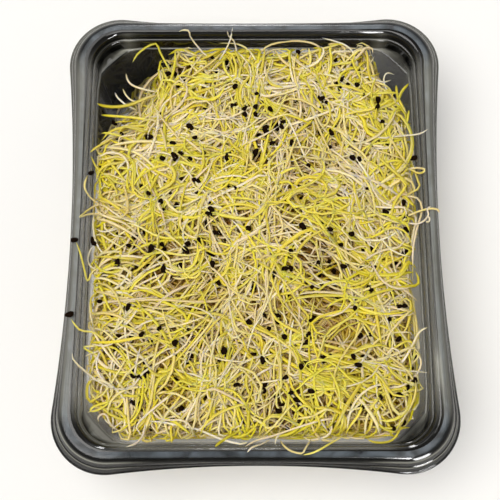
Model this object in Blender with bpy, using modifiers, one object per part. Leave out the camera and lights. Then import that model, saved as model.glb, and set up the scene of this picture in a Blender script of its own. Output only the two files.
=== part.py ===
"""A clear plastic food tray filled with leek sprouts, at its real size.

The tray is a thermoformed shell: a waisted rim with a flat sealing band, two small steps
down inside it, a cavity with cut-off corners and a raised floor panel. The sprouts lie in
it as six handfuls. Each handful has a plain core, and pale strands and black seed coats
stand out of its top and its outer sides. Sprays of yellow shoots stand in sockets in them.

The origin is at the middle of the tray's underside, +Y runs along the tray, +Z is up.
"""

import math
import random

import bmesh
import bpy
import numpy as np
from mathutils import Matrix, Vector, kdtree, noise

MM = 0.001

# The tray: half sizes are taken at the middle of each side
TRAY_HEIGHT = 42 * MM
WALL = 0.5 * MM
END_EXTRA = 14.4 * MM  # how much longer than wide the tray is, on each side of its middle
SEAL_HALF_WIDTH = 57.1 * MM  # the inner edge of the flat sealing band
CHAMFER = 10.5 * MM
SIDE_STEPS = 3
CORNER_STEPS = 6
STRAIGHT = 1e-6  # a bow this small is a straight side

# The bed of sprouts
PANEL_RISE = 1.4 * MM
BED_FLOOR = PANEL_RISE + WALL + 0.4 * MM
FLOOR_HALF_WIDTH = 50.2 * MM  # the cavity at CAVITY_FOOT
TOP_HALF_WIDTH = 54.0 * MM  # the cavity at CAVITY_TOP
CAVITY_FOOT = 5 * MM
CAVITY_TOP = 33.8 * MM
CORE_INSET = 2.0 * MM
CORNER_POWER = 5.0  # the superellipse that the bed's outline follows
EDGE_LEVEL = 36.5 * MM
DOME_RISE = 7.5 * MM
LUMP_HEIGHT = 1.6 * MM
LUMP_SIZE = 19 * MM
CORE_COVER = 3.2 * MM  # how far the core's top lies under the top of the sprouts
HANDFUL_GAP = 0.4 * MM
HANDFULS_ACROSS = 2
HANDFULS_ALONG = 3

# Each corner that the sprouts leave bare: its signs in x and y, its reach and how deep it falls
BARE_CORNERS = (
    (-1, 1, 40 * MM, 22 * MM),
    (1, 1, 33 * MM, 19 * MM),
    (1, -1, 27 * MM, 13 * MM),
    (-1, -1, 22 * MM, 12 * MM),
)

# The strands, thicker than the real ones so that fewer of them cover the bed
STRAND_RADIUS = 1.0 * MM
SHOOT_RADIUS = 1.0 * MM
STRAND_POINTS = 5
CLEARANCE = 0.35 * MM
SINK = 2.6 * MM
SEED_SIZE = (1.6 * MM, 1.15 * MM, 0.85 * MM)
STRANDS_PER_HANDFUL = 26
SIDE_STRANDS_PER_FACE = 8
SEEDS_PER_HANDFUL = 5
SPRAYS_PER_HANDFUL = 2
SHOOTS_PER_SPRAY = 6
PLUG_RADIUS = 2.2 * MM
PLUG_DEPTH = 6 * MM
PLUG_STAND = 1.7 * MM
SOCKET_PLAY = 0.35 * MM
WIDEST = PLUG_RADIUS


def clear_scene():
    for obj in list(bpy.data.objects):
        bpy.data.objects.remove(obj, do_unlink=True)


def new_collection(name, parent=None):
    found = bpy.data.collections.new(name)
    (parent or bpy.context.scene.collection).children.link(found)
    return found


def material(name, colour, roughness, alpha=1.0):
    made = bpy.data.materials.new(name)
    made.use_nodes = True
    shader = made.node_tree.nodes["Principled BSDF"]
    shader.inputs["Base Color"].default_value = (*colour, 1.0)
    shader.inputs["Roughness"].default_value = roughness
    shader.inputs["Metallic"].default_value = 0.0
    shader.inputs["Alpha"].default_value = alpha
    return made


def mesh_object(name, mesh, collection, finish=None):
    obj = bpy.data.objects.new(name, mesh)
    collection.objects.link(obj)
    if finish:
        mesh.materials.clear()
        mesh.materials.append(finish)
    return obj


# The tray's outlines


def waisted_quarter(half_width, half_length, side_bow, end_bow, radius):
    """A quarter of an outline with bowed-in sides, from the +X axis to the +Y axis.

    Each side is an arc whose centre lies outside the tray, and the corner's circle is
    tangent to both of them.
    """
    side_arc = (half_length - radius) ** 2 / (2 * side_bow)
    end_arc = (half_width - radius) ** 2 / (2 * end_bow)
    centre_x = half_width - radius
    centre_y = half_length - radius
    for _ in range(12):
        centre_x = half_width + side_arc - math.sqrt((side_arc + radius) ** 2 - centre_y**2)
        centre_y = half_length + end_arc - math.sqrt((end_arc + radius) ** 2 - centre_x**2)
    start = math.atan2(-centre_y, half_width + side_arc - centre_x)
    stop = math.atan2(half_length + end_arc - centre_y, -centre_x)
    points = []
    for y in np.linspace(0, centre_y + radius * math.sin(start), SIDE_STEPS + 1)[:-1]:
        points.append((half_width + side_arc - math.sqrt(side_arc**2 - y**2), y))
    for angle in np.linspace(start, stop, CORNER_STEPS + 1):
        points.append((centre_x + radius * math.cos(angle), centre_y + radius * math.sin(angle)))
    for x in np.linspace(centre_x + radius * math.cos(stop), 0, SIDE_STEPS + 1)[1:]:
        points.append((x, half_length + end_arc - math.sqrt(end_arc**2 - x**2)))
    return points


def chamfered_quarter(half_width, half_length, chamfer, radius):
    """A quarter of a rectangle with its corner cut off at 45 degrees and both vertices rounded."""
    run = radius * math.tan(math.pi / 8)
    steps = (CORNER_STEPS - 2) // 2
    low = (half_width - radius, half_length - chamfer - run)
    high = (half_width - chamfer - run, half_length - radius)
    points = [(half_width, y) for y in np.linspace(0, low[1], SIDE_STEPS + 1)[:-1]]
    for angle in np.linspace(0, math.pi / 4, steps + 1):
        points.append((low[0] + radius * math.cos(angle), low[1] + radius * math.sin(angle)))
    points.append((half_width - chamfer / 2, half_length - chamfer / 2))
    for angle in np.linspace(math.pi / 4, math.pi / 2, steps + 1):
        points.append((high[0] + radius * math.cos(angle), high[1] + radius * math.sin(angle)))
    points += [(x, half_length) for x in np.linspace(high[0], 0, SIDE_STEPS + 1)[1:]]
    return points


def tray_rings():
    """The shell's underside as (height, quarter outline), from the lip's foot in to the floor."""
    top = TRAY_HEIGHT - WALL
    seal = SEAL_HALF_WIDTH
    end = END_EXTRA

    def rim(height, outset, end_outset, side_bow, end_bow, radius):
        return height, waisted_quarter(
            seal + outset, seal + end + end_outset, side_bow, end_bow, radius
        )

    def cavity(height, inset, chamfer, radius):
        return height, chamfered_quarter(seal - inset, seal + end - inset, chamfer, radius)

    return [
        rim(top - 5.0 * MM, 3.8 * MM, 4.4 * MM, 3.1 * MM, 2.5 * MM, 17.3 * MM),
        rim(top - 4.7 * MM, 3.0 * MM, 3.6 * MM, 2.9 * MM, 2.2 * MM, 16.6 * MM),
        rim(top - 0.7 * MM, 2.3 * MM, 3.1 * MM, 1.7 * MM, 0.4 * MM, 15.0 * MM),
        rim(top, 1.8 * MM, 2.5 * MM, 1.4 * MM, 0.2 * MM, 14.4 * MM),
        rim(top, 0, 0, STRAIGHT, STRAIGHT, 12.6 * MM),
        rim(top - 0.7 * MM, -0.6 * MM, -0.6 * MM, STRAIGHT, STRAIGHT, 12.2 * MM),
        rim(top - 3.0 * MM, -0.8 * MM, -0.8 * MM, STRAIGHT, STRAIGHT, 12.0 * MM),
        rim(top - 3.3 * MM, -1.6 * MM, -1.6 * MM, STRAIGHT, STRAIGHT, 11.6 * MM),
        rim(top - 7.6 * MM, -1.8 * MM, -1.8 * MM, STRAIGHT, STRAIGHT, 11.4 * MM),
        cavity(CAVITY_TOP - WALL, SEAL_HALF_WIDTH - TOP_HALF_WIDTH - WALL, CHAMFER, 2.5 * MM),
        cavity(CAVITY_FOOT, SEAL_HALF_WIDTH - FLOOR_HALF_WIDTH - WALL, CHAMFER, 3.5 * MM),
        cavity(1.2 * MM, 7.7 * MM, CHAMFER, 3.5 * MM),
        cavity(0, 9.7 * MM, CHAMFER, 3.5 * MM),
        cavity(0, 16.5 * MM, CHAMFER, 3.0 * MM),
        cavity(PANEL_RISE, 18.1 * MM, CHAMFER, 2.5 * MM),
    ]


def make_tray(collection, finish):
    """One quarter of the shell as a loft, mirrored twice and given its wall."""
    shape = bmesh.new()
    rows = [
        [shape.verts.new((x, y, height)) for x, y in outline] for height, outline in tray_rings()
    ]
    for outer, inner in zip(rows, rows[1:]):
        for k in range(len(outer) - 1):
            shape.faces.new((outer[k], outer[k + 1], inner[k + 1], inner[k]))
    middle = shape.verts.new((0, 0, PANEL_RISE))
    shape.faces.new([*rows[-1], middle])
    mesh = bpy.data.meshes.new("tray")
    shape.to_mesh(mesh)
    shape.free()
    mesh.shade_smooth()
    tray = mesh_object("tray", mesh, collection, finish)
    mirror = tray.modifiers.new("whole tray", "MIRROR")
    mirror.use_axis = (True, True, False)
    mirror.merge_threshold = 0.00001
    wall = tray.modifiers.new("wall", "SOLIDIFY")
    wall.thickness = WALL
    wall.offset = 1.0
    wall.use_even_offset = True
    return tray


# The bed's form


def cavity_half_sizes(height):
    share = (height - CAVITY_FOOT) / (CAVITY_TOP - CAVITY_FOOT)
    half_width = FLOOR_HALF_WIDTH + share * (TOP_HALF_WIDTH - FLOOR_HALF_WIDTH)
    return half_width, half_width + END_EXTRA


def sprout_top(x, y):
    """Height of the top of the sprouts: a low dome with lumps, falling away at bare corners."""
    half_width, half_length = cavity_half_sizes(CAVITY_TOP)
    across = min(1.0, abs(x) / half_width)
    along = min(1.0, abs(y) / half_length)
    height = EDGE_LEVEL + DOME_RISE * (1 - across**3) * (1 - along**3)
    height += LUMP_HEIGHT * noise.noise(Vector((x / LUMP_SIZE, y / LUMP_SIZE, 3.7)))
    for sign_x, sign_y, reach, drop in BARE_CORNERS:
        gap = math.hypot(x - sign_x * half_width, y - sign_y * half_length)
        share = max(0.0, 1 - gap / reach)
        height -= drop * share * share * (3 - 2 * share)
    return height


def core_top(x, y):
    return sprout_top(x, y) - CORE_COVER


def bed_point(u, v, level, inset=CORE_INSET):
    """The point of the bed at u and v from -1 to 1 across and along it, level 0 to 1 upwards.

    The square of u and v is carried onto a superellipse inside the cavity.
    """
    half_width, half_length = cavity_half_sizes(BED_FLOOR + level * (EDGE_LEVEL - BED_FLOOR))
    reach = max(abs(u), abs(v), 1e-9)
    norm = (abs(u / reach) ** CORNER_POWER + abs(v / reach) ** CORNER_POWER) ** (1 / CORNER_POWER)
    x = (half_width - inset) * u / norm
    y = (half_length - inset) * v / norm
    return Vector((x, y, BED_FLOOR + level * (core_top(x, y) - BED_FLOOR)))


def bed_share(x, y):
    """The u and v of a place, which undoes bed_point at the top of the bed."""
    half_width, half_length = cavity_half_sizes(EDGE_LEVEL)
    across = x / (half_width - CORE_INSET)
    along = y / (half_length - CORE_INSET)
    norm = (abs(across) ** CORNER_POWER + abs(along) ** CORNER_POWER) ** (1 / CORNER_POWER)
    reach = max(abs(across), abs(along), 1e-9)
    return norm * across / reach, norm * along / reach


class Handful:
    """One of the six heaps, as a cell of the bed."""

    def __init__(self, column, row):
        half_width, half_length = cavity_half_sizes(CAVITY_TOP)
        self.name = f"sprouts_{row * HANDFULS_ACROSS + column + 1}"
        self.low = (
            -1 + 2 * column / HANDFULS_ACROSS + (column > 0) * HANDFUL_GAP / half_width / 2,
            -1 + 2 * row / HANDFULS_ALONG + (row > 0) * HANDFUL_GAP / half_length / 2,
        )
        self.high = (
            -1
            + 2 * (column + 1) / HANDFULS_ACROSS
            - (column < HANDFULS_ACROSS - 1) * HANDFUL_GAP / half_width / 2,
            -1
            + 2 * (row + 1) / HANDFULS_ALONG
            - (row < HANDFULS_ALONG - 1) * HANDFUL_GAP / half_length / 2,
        )
        self.sockets = []

    def place(self, s, t, level=1.0, inset=CORE_INSET):
        """The point at shares s and t of this cell."""
        u = self.low[0] + s * (self.high[0] - self.low[0])
        v = self.low[1] + t * (self.high[1] - self.low[1])
        return bed_point(u, v, level, inset)

    def holds(self, x, y, margin):
        u, v = bed_share(x, y)
        half_width, half_length = cavity_half_sizes(CAVITY_TOP)
        edge_u = margin / half_width
        edge_v = margin / half_length
        return (
            self.low[0] + edge_u < u < self.high[0] - edge_u
            and self.low[1] + edge_v < v < self.high[1] - edge_v
        )


# Strands


def along_path(points, shares):
    """Points at the given shares of a polyline's length."""
    steps = np.linalg.norm(np.diff(points, axis=0), axis=1)
    at = np.concatenate([[0], np.cumsum(steps)]) / steps.sum()
    return np.stack([np.interp(shares, at, points[:, k]) for k in range(3)], axis=1)


class Thicket:
    """Everything placed so far, so that a new strand can be kept clear of it."""

    def __init__(self):
        self.samples = []

    def add(self, points, radius, owner):
        self.samples += [(Vector(p), radius, owner) for p in points]
        self.tree = kdtree.KDTree(len(self.samples))
        for index, (point, _, _) in enumerate(self.samples):
            self.tree.insert(point, index)
        self.tree.balance()

    def is_clear(self, points, radius, owner, free=None):
        """True if no point comes near another strand. free says where it may meet its own."""
        for point in points:
            near = self.tree.find_range(point, radius + WIDEST + CLEARANCE)
            for _, index, distance in near:
                _, other_radius, other = self.samples[index]
                if distance > radius + other_radius + CLEARANCE:
                    continue
                if other == owner and free and free(point):
                    continue
                return False
        return True


def plan_arc(start, heading, length, bend):
    """A plan curve of that length whose heading turns by bend, quicker towards its far end."""
    shares = np.linspace(0, 1, STRAND_POINTS)
    headings = heading + bend * shares**1.4
    step = length / (STRAND_POINTS - 1)
    x = start[0] + np.concatenate([[0], np.cumsum(step * np.cos(headings[:-1]))])
    y = start[1] + np.concatenate([[0], np.cumsum(step * np.sin(headings[:-1]))])
    return shares, x, y


def inside_tray(x, y, radius):
    half_width, half_length = cavity_half_sizes(CAVITY_TOP)
    across = abs(x) / (half_width - radius - CLEARANCE)
    along = abs(y) / (half_length - radius - CLEARANCE)
    return across**CORNER_POWER + along**CORNER_POWER < 1


def strand_over_bed(rng, handful, thicket):
    """A pale strand with its root, and often its far end, sunk in this handful's core."""
    start = handful.place(rng.uniform(0.04, 0.96), rng.uniform(0.04, 0.96))
    length = rng.uniform(24, 46) * MM
    shares, xs, ys = plan_arc(start, rng.uniform(0, math.tau), length, rng.uniform(-1.9, 1.9))
    if not all(inside_tray(x, y, STRAND_RADIUS) for x, y in zip(xs, ys)):
        return None
    if not handful.holds(xs[0], ys[0], 1.8 * MM):
        return None
    loops_back = handful.holds(xs[-1], ys[-1], 1.8 * MM)
    if loops_back:
        rise = np.sin(math.pi * shares) ** 0.55
    else:
        rise = np.sin(math.pi / 2 * np.minimum(1, 1.9 * shares)) ** 0.8

    def is_sunk(point):
        return point[2] < core_top(point[0], point[1]) - 1.2 * MM

    for lift in (1.0, 2.4, 3.8, 5.2, 6.6):
        heights = -SINK + (SINK + lift * MM) * rise
        points = np.array(
            [(x, y, core_top(x, y) + h) for x, y, h in zip(xs, ys, heights)]
        )
        fine = along_path(points, np.linspace(0, 1, int(length / (0.7 * MM))))
        outside = [
            p for p in fine if not handful.holds(p[0], p[1], 0)
        ]
        over_others = all(
            p[2] > core_top(p[0], p[1]) + STRAND_RADIUS + CLEARANCE for p in outside
        )
        if over_others and thicket.is_clear(fine, STRAND_RADIUS, handful.name, is_sunk):
            thicket.add(fine, STRAND_RADIUS, handful.name)
            return points, not loops_back
    return None


def strand_on_side(rng, handful, face, thicket):
    """A strand pressed flat between the core's outer side and the tray's wall."""
    level = rng.uniform(0.06, 0.9)
    middle = rng.uniform(0.2, 0.8)
    half_span = rng.uniform(0.1, 0.3)
    slope = rng.uniform(-0.35, 0.35)
    bow = rng.uniform(-0.12, 0.12)
    points = []
    for share in np.linspace(-1, 1, STRAND_POINTS):
        along = middle + half_span * share
        height = level + slope * half_span * 2 * share + bow * (1 - share * share)
        if not (0.03 < along < 0.97 and 0.05 < height < 0.95):
            return None
        across = 0.0 if face[1] < 0 else 1.0
        s, t = (across, along) if face[0] == "x" else (along, across)
        points.append(handful.place(s, t, height, CORE_INSET - 0.15 * MM))
    points = np.array([tuple(p) for p in points])
    fine = along_path(points, np.linspace(0, 1, 40))
    if not thicket.is_clear(fine, STRAND_RADIUS, handful.name):
        return None
    thicket.add(fine, STRAND_RADIUS, handful.name)
    return points


def shoot_of_spray(rng, root, heading, owner, thicket):
    """A yellow shoot that leaves its spray's root and arches over the bed."""
    length = rng.uniform(20, 40) * MM
    shares, xs, ys = plan_arc(root, heading, length, rng.uniform(-1.5, 1.5))
    if not all(inside_tray(x, y, SHOOT_RADIUS) for x, y in zip(xs, ys)):
        return None
    base = root.z - core_top(root.x, root.y)

    def is_at_root(point):
        return (Vector(point) - root).length < 5.5 * MM

    for lift in (1.6, 2.8, 4.0, 5.2):
        heights = base + lift * MM * np.sin(math.pi / 2 * np.minimum(1, 2.2 * shares))
        points = np.array([(x, y, core_top(x, y) + h) for x, y, h in zip(xs, ys, heights)])
        points[0] = tuple(root)
        fine = along_path(points, np.linspace(0, 1, int(length / (0.7 * MM))))
        above = all(
            p[2] > core_top(p[0], p[1]) + SHOOT_RADIUS + 0.35 * MM
            for p in fine
            if math.hypot(p[0] - root.x, p[1] - root.y) > 1.5 * MM
        )
        if above and thicket.is_clear(fine, SHOOT_RADIUS, owner, is_at_root):
            thicket.add(fine, SHOOT_RADIUS, owner)
            return points
    return None


# Solids for the strands, seeds and plugs


def strand_curve(points, radius, widths, profile, collection):
    """A strand as a curve swept with the three-sided profile. widths scale it along its length."""
    data = bpy.data.curves.new("strand", "CURVE")
    data.dimensions = "3D"
    data.bevel_mode = "OBJECT"
    data.bevel_object = profile
    data.use_fill_caps = True
    spline = data.splines.new("POLY")
    spline.points.add(len(points) - 1)
    for slot, point, width in zip(spline.points, points, widths):
        slot.co = (*point, 1)
        slot.radius = radius * width / MM
    obj = bpy.data.objects.new("strand", data)
    collection.objects.link(obj)
    return obj


def curves_to_meshes(curves, collection):
    """Each curve as a closed mesh, with its end caps welded on."""
    bpy.context.view_layer.update()
    graph = bpy.context.evaluated_depsgraph_get()
    meshes = [bpy.data.meshes.new_from_object(c.evaluated_get(graph)) for c in curves]
    for curve, mesh in zip(curves, meshes):
        shape = bmesh.new()
        shape.from_mesh(mesh)
        bmesh.ops.remove_doubles(shape, verts=shape.verts, dist=1e-6)
        bmesh.ops.recalc_face_normals(shape, faces=shape.faces)
        shape.to_mesh(mesh)
        shape.free()
        solid = mesh_object("strand_solid", mesh, collection)
        solid.matrix_world = curve.matrix_world
        bpy.data.objects.remove(curve, do_unlink=True)


def add_seed(place, turn, collection):
    """A seed coat: a small flattened egg."""
    shape = bmesh.new()
    bmesh.ops.create_icosphere(shape, subdivisions=1, radius=1.0)
    size = Matrix.Diagonal((*SEED_SIZE, 1))
    bmesh.ops.transform(shape, matrix=Matrix.Translation(place) @ turn @ size, verts=shape.verts)
    mesh = bpy.data.meshes.new("seed")
    shape.to_mesh(mesh)
    shape.free()
    mesh_object("seed", mesh, collection)


def round_bar(radius, low, high, name, collection):
    """An upright eight-sided bar between two points on one vertical line."""
    shape = bmesh.new()
    bmesh.ops.create_cone(
        shape, cap_ends=True, segments=8, radius1=radius, radius2=radius, depth=high.z - low.z
    )
    bmesh.ops.translate(shape, vec=(low + high) / 2, verts=shape.verts)
    mesh = bpy.data.meshes.new(name)
    shape.to_mesh(mesh)
    shape.free()
    return mesh_object(name, mesh, collection)


def make_core(handful, collection, finish):
    """The plain heap inside a handful: a cut-up cube carried into its cell of the bed."""
    shape = bmesh.new()
    bmesh.ops.create_cube(shape, size=1.0)
    flat = [e for e in shape.edges if abs(e.verts[0].co.z - e.verts[1].co.z) < 0.5]
    bmesh.ops.subdivide_edges(shape, edges=flat, cuts=5, use_grid_fill=True)
    upright = [e for e in shape.edges if abs(e.verts[0].co.z - e.verts[1].co.z) > 0.5]
    bmesh.ops.subdivide_edges(shape, edges=upright, cuts=1, use_grid_fill=True)
    for vert in shape.verts:
        vert.co = handful.place(vert.co.x + 0.5, vert.co.y + 0.5, vert.co.z + 0.5)
    bmesh.ops.triangulate(shape, faces=shape.faces)
    bmesh.ops.recalc_face_normals(shape, faces=shape.faces)
    mesh = bpy.data.meshes.new(handful.name)
    shape.to_mesh(mesh)
    shape.free()
    return mesh_object(handful.name, mesh, collection, finish)


def boolean(obj, operation, collection):
    """One applied Boolean on everything in the collection, which is then emptied."""
    cut = obj.modifiers.new(operation.lower(), "BOOLEAN")
    cut.operation = operation
    cut.operand_type = "COLLECTION"
    cut.collection = collection
    cut.solver = "MANIFOLD"
    bpy.context.view_layer.update()
    graph = bpy.context.evaluated_depsgraph_get()
    joined = bpy.data.meshes.new_from_object(obj.evaluated_get(graph))
    finish = obj.data.materials[0]
    obj.modifiers.clear()
    obj.data = joined
    joined.materials.clear()
    joined.materials.append(finish)
    for tool in list(collection.objects):
        bpy.data.objects.remove(tool, do_unlink=True)
    bpy.data.collections.remove(collection)


def random_turn(rng):
    return (
        Matrix.Rotation(rng.uniform(0, math.tau), 4, "Z")
        @ Matrix.Rotation(rng.uniform(-0.6, 0.6), 4, "X")
        @ Matrix.Rotation(rng.uniform(-0.6, 0.6), 4, "Y")
    )


# The assembly


def plan_sprays(rng, handfuls, thicket):
    """Where each yellow spray stands, and the paths of its shoots."""
    sprays = []
    for handful in handfuls:
        for k in range(SPRAYS_PER_HANDFUL):
            s = 0.27 + 0.46 * k + rng.uniform(-0.06, 0.06)
            t = 0.3 + 0.4 * ((k + handfuls.index(handful)) % 2) + rng.uniform(-0.08, 0.08)
            root = handful.place(s, t) + Vector((0, 0, PLUG_STAND))
            owner = f"yellow_shoots_{len(sprays) + 1}"
            plug = [tuple(root + Vector((0, 0, z * MM))) for z in range(-7, 1)]
            thicket.add(plug, PLUG_RADIUS, owner)
            handful.sockets.append(root)
            sprays.append((owner, root, []))
    for owner, root, paths in sprays:
        turn = rng.uniform(0, math.tau)
        for k in range(SHOOTS_PER_SPRAY):
            for _ in range(30):
                heading = turn + math.tau * k / SHOOTS_PER_SPRAY + rng.uniform(-0.3, 0.3)
                points = shoot_of_spray(rng, root, heading, owner, thicket)
                if points is not None:
                    paths.append(points)
                    break
    return sprays


def make_spray(owner, root, paths, profile, collection, finish):
    """A plug in its socket, with the yellow shoots growing out of its head."""
    foot = root - Vector((0, 0, PLUG_DEPTH))
    plug = round_bar(PLUG_RADIUS, foot, root + Vector((0, 0, 0.6 * MM)), owner, collection)
    plug.data.materials.append(finish)
    tools = new_collection(f"{owner} tools")
    widths = (1.0, 0.9, 1.0, 1.1, 0.7)
    curves = [strand_curve(p, SHOOT_RADIUS, widths, profile, tools) for p in paths]
    curves_to_meshes(curves, tools)
    boolean(plug, "UNION", tools)


def plan_handful(rng, handful, thicket):
    """The strands and seeds of one handful."""
    strands = []
    seeds = []
    faces = [("x", -1 if handful.low[0] < -0.9 else 1)]
    if handful.low[1] < -0.9:
        faces.append(("y", -1))
    if handful.high[1] > 0.9:
        faces.append(("y", 1))
    for face in faces:
        made = 0
        for _ in range(60 * SIDE_STRANDS_PER_FACE):
            points = strand_on_side(rng, handful, face, thicket)
            if points is not None:
                strands.append(points)
                made += 1
            if made == SIDE_STRANDS_PER_FACE:
                break
    made = 0
    for _ in range(90 * STRANDS_PER_HANDFUL):
        found = strand_over_bed(rng, handful, thicket)
        if found is not None:
            points, free_end = found
            strands.append(points)
            made += 1
            tip = Vector(points[-1])
            if free_end and thicket.is_clear([tip], 2.0 * MM, None) is False:
                free_end = False
            if free_end:
                seeds.append(tip)
        if made == STRANDS_PER_HANDFUL:
            break
    for _ in range(40 * SEEDS_PER_HANDFUL):
        place = handful.place(rng.uniform(0.08, 0.92), rng.uniform(0.08, 0.92))
        place.z += 0.2 * MM
        if thicket.is_clear([place], SEED_SIZE[0], None):
            seeds.append(place)
            thicket.add([tuple(place)], SEED_SIZE[0], handful.name)
        if len(seeds) >= 2 * SEEDS_PER_HANDFUL:
            break
    return strands, seeds


def make_handful(rng, handful, strands, seeds, profile, collection, finish):
    """A core with its sockets cut, and its strands and seed coats joined on."""
    core = make_core(handful, collection, finish)
    holes = new_collection(f"{handful.name} holes")
    for root in handful.sockets:
        foot = root - Vector((0, 0, PLUG_DEPTH + SOCKET_PLAY))
        round_bar(PLUG_RADIUS + SOCKET_PLAY, foot, root + Vector((0, 0, 4 * MM)), "socket", holes)
    boolean(core, "DIFFERENCE", holes)
    tools = new_collection(f"{handful.name} tools")
    widths = (1.0, 1.0, 1.0, 0.95, 0.8)
    curves = [strand_curve(p, STRAND_RADIUS, widths, profile, tools) for p in strands]
    curves_to_meshes(curves, tools)
    for place in seeds:
        add_seed(place, random_turn(rng), tools)
    boolean(core, "UNION", tools)


def make_profile(collection):
    """The three-sided section of a strand, 1 mm in radius."""
    data = bpy.data.curves.new("strand profile", "CURVE")
    data.dimensions = "2D"
    spline = data.splines.new("POLY")
    spline.points.add(2)
    for k, slot in enumerate(spline.points):
        angle = math.pi / 2 + math.tau * k / 3
        slot.co = (MM * math.cos(angle), MM * math.sin(angle), 0, 1)
    spline.use_cyclic_u = True
    profile = bpy.data.objects.new("strand profile", data)
    profile.hide_render = True
    collection.objects.link(profile)
    return profile


def main():
    clear_scene()
    rng = random.Random(41)
    parts = new_collection("microgreens tray")
    guides = new_collection("guides")
    profile = make_profile(guides)
    clear_plastic = material("clear plastic", (0.10, 0.10, 0.10), 0.08, 0.45)
    pale_stem = material("pale stem", (0.66, 0.56, 0.24), 0.45)
    yellow_shoot = material("yellow shoot", (0.70, 0.56, 0.05), 0.4)

    make_tray(parts, clear_plastic)
    handfuls = [
        Handful(column, row) for row in range(HANDFULS_ALONG) for column in range(HANDFULS_ACROSS)
    ]
    thicket = Thicket()
    sprays = plan_sprays(rng, handfuls, thicket)
    plans = [plan_handful(rng, handful, thicket) for handful in handfuls]
    for owner, root, paths in sprays:
        make_spray(owner, root, paths, profile, parts, yellow_shoot)
    for handful, (strands, seeds) in zip(handfuls, plans):
        make_handful(rng, handful, strands, seeds, profile, parts, pale_stem)


main()
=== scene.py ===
# A clear thermoformed tray heaped with leek sprouts: film tray, tangled seedlings, black seed coats.
# Lengths in the dictionaries are in millimetres. +Y runs along the tray, away from the camera.
import math
from functools import partial

import bmesh
import bpy
import numpy as np
from mathutils import Matrix, Vector


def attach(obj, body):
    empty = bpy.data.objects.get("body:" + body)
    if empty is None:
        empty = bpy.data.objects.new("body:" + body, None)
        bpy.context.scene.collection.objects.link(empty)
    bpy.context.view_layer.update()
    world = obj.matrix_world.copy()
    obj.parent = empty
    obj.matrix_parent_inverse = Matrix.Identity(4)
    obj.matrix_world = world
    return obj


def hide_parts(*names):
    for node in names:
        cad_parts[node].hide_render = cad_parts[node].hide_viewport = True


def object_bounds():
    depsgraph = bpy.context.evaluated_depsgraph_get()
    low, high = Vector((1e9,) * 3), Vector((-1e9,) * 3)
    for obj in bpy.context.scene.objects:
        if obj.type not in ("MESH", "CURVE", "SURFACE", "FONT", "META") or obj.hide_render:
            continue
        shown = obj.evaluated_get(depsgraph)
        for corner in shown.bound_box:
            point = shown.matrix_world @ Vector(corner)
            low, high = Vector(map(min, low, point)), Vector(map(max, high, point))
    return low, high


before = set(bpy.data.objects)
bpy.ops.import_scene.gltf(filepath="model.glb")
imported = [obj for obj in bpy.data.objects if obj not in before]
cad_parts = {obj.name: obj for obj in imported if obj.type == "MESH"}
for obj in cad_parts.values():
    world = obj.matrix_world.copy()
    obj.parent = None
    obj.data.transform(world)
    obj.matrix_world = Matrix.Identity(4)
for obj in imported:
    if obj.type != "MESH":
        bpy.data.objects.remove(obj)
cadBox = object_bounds()
mm = 0.001
roof = cadBox[1].z / mm - 0.25  # nothing may stand higher than the solids do


# Small helpers


def linear(hexColour):
    # each sRGB channel c becomes c/12.92 below 0.04045 and ((c+0.055)/1.055)^2.4 above it
    channels = [int(hexColour[k:k + 2], 16) / 255 for k in (1, 3, 5)]
    return (*[c / 12.92 if c <= 0.04045 else ((c + 0.055) / 1.055) ** 2.4 for c in channels], 1.0)


def smooth(t):
    # 3t^2 - 2t^3 on t held between 0 and 1
    t = np.clip(t, 0.0, 1.0)
    return t * t * (3 - 2 * t)


def newMaterial(name):
    # the material, its shader and what adds a node to it
    material = bpy.data.materials.new(name)
    material.use_nodes = True
    return material, material.node_tree.nodes["Principled BSDF"], partial(addNode, material)


def setSockets(node, sockets):
    # a socket takes a value, or the (node, output) pair that it is linked to
    for key, value in sockets.items():
        if isinstance(value, tuple) and isinstance(value[0], bpy.types.Node):
            node.id_data.links.new(value[0].outputs[value[1]], node.inputs[key])
        else:
            node.inputs[key].default_value = value


def addNode(material, kind, sockets=None, stops=None, **settings):
    node = material.node_tree.nodes.new("ShaderNode" + kind)
    for key, value in settings.items():
        setattr(node, key, value)
    setSockets(node, sockets or {})
    if stops:
        setRamp(node, stops)
    return node


def setRamp(node, stops):
    # a colour ramp's stops as (place, hex colour)
    ramp = node.color_ramp
    while len(ramp.elements) > 2:
        ramp.elements.remove(ramp.elements[-1])
    while len(ramp.elements) < len(stops):
        ramp.elements.new(0.5)
    for element, (place, colour) in zip(ramp.elements, stops):
        element.position = place
        element.color = linear(colour)


def meshFromGrid(name, points, faces, material, values=None):
    # points is (n, 3) in mm, faces (m, 4); values are float attributes, one number a vertex
    mesh = bpy.data.meshes.new(name)
    mesh.vertices.add(len(points))
    mesh.vertices.foreach_set("co", (points * mm).astype(np.float32).ravel())
    mesh.loops.add(faces.size)
    mesh.loops.foreach_set("vertex_index", faces.astype(np.int32).ravel())
    mesh.polygons.add(len(faces))
    mesh.polygons.foreach_set("loop_start", np.arange(0, faces.size, 4, dtype=np.int32))
    mesh.polygons.foreach_set("use_smooth", np.ones(len(faces), dtype=bool))
    for key, data in (values or {}).items():
        layer = mesh.attributes.new(key, "FLOAT", "POINT")
        layer.data.foreach_set("value", np.asarray(data, dtype=np.float32).ravel())
    mesh.update(calc_edges=True)
    mesh.validate()
    mesh.materials.append(material)
    made = bpy.data.objects.new(name, mesh)
    bpy.context.scene.collection.objects.link(made)
    return made


def ringFaces(rows, around):
    # quads between neighbouring rings of points, each ring closed on itself
    k, i = np.meshgrid(np.arange(rows - 1) * around, np.arange(around), indexing="ij")
    j = (i + 1) % around
    return np.stack([k + i, k + j, k + around + j, k + around + i], axis=-1).reshape(-1, 4)


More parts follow.
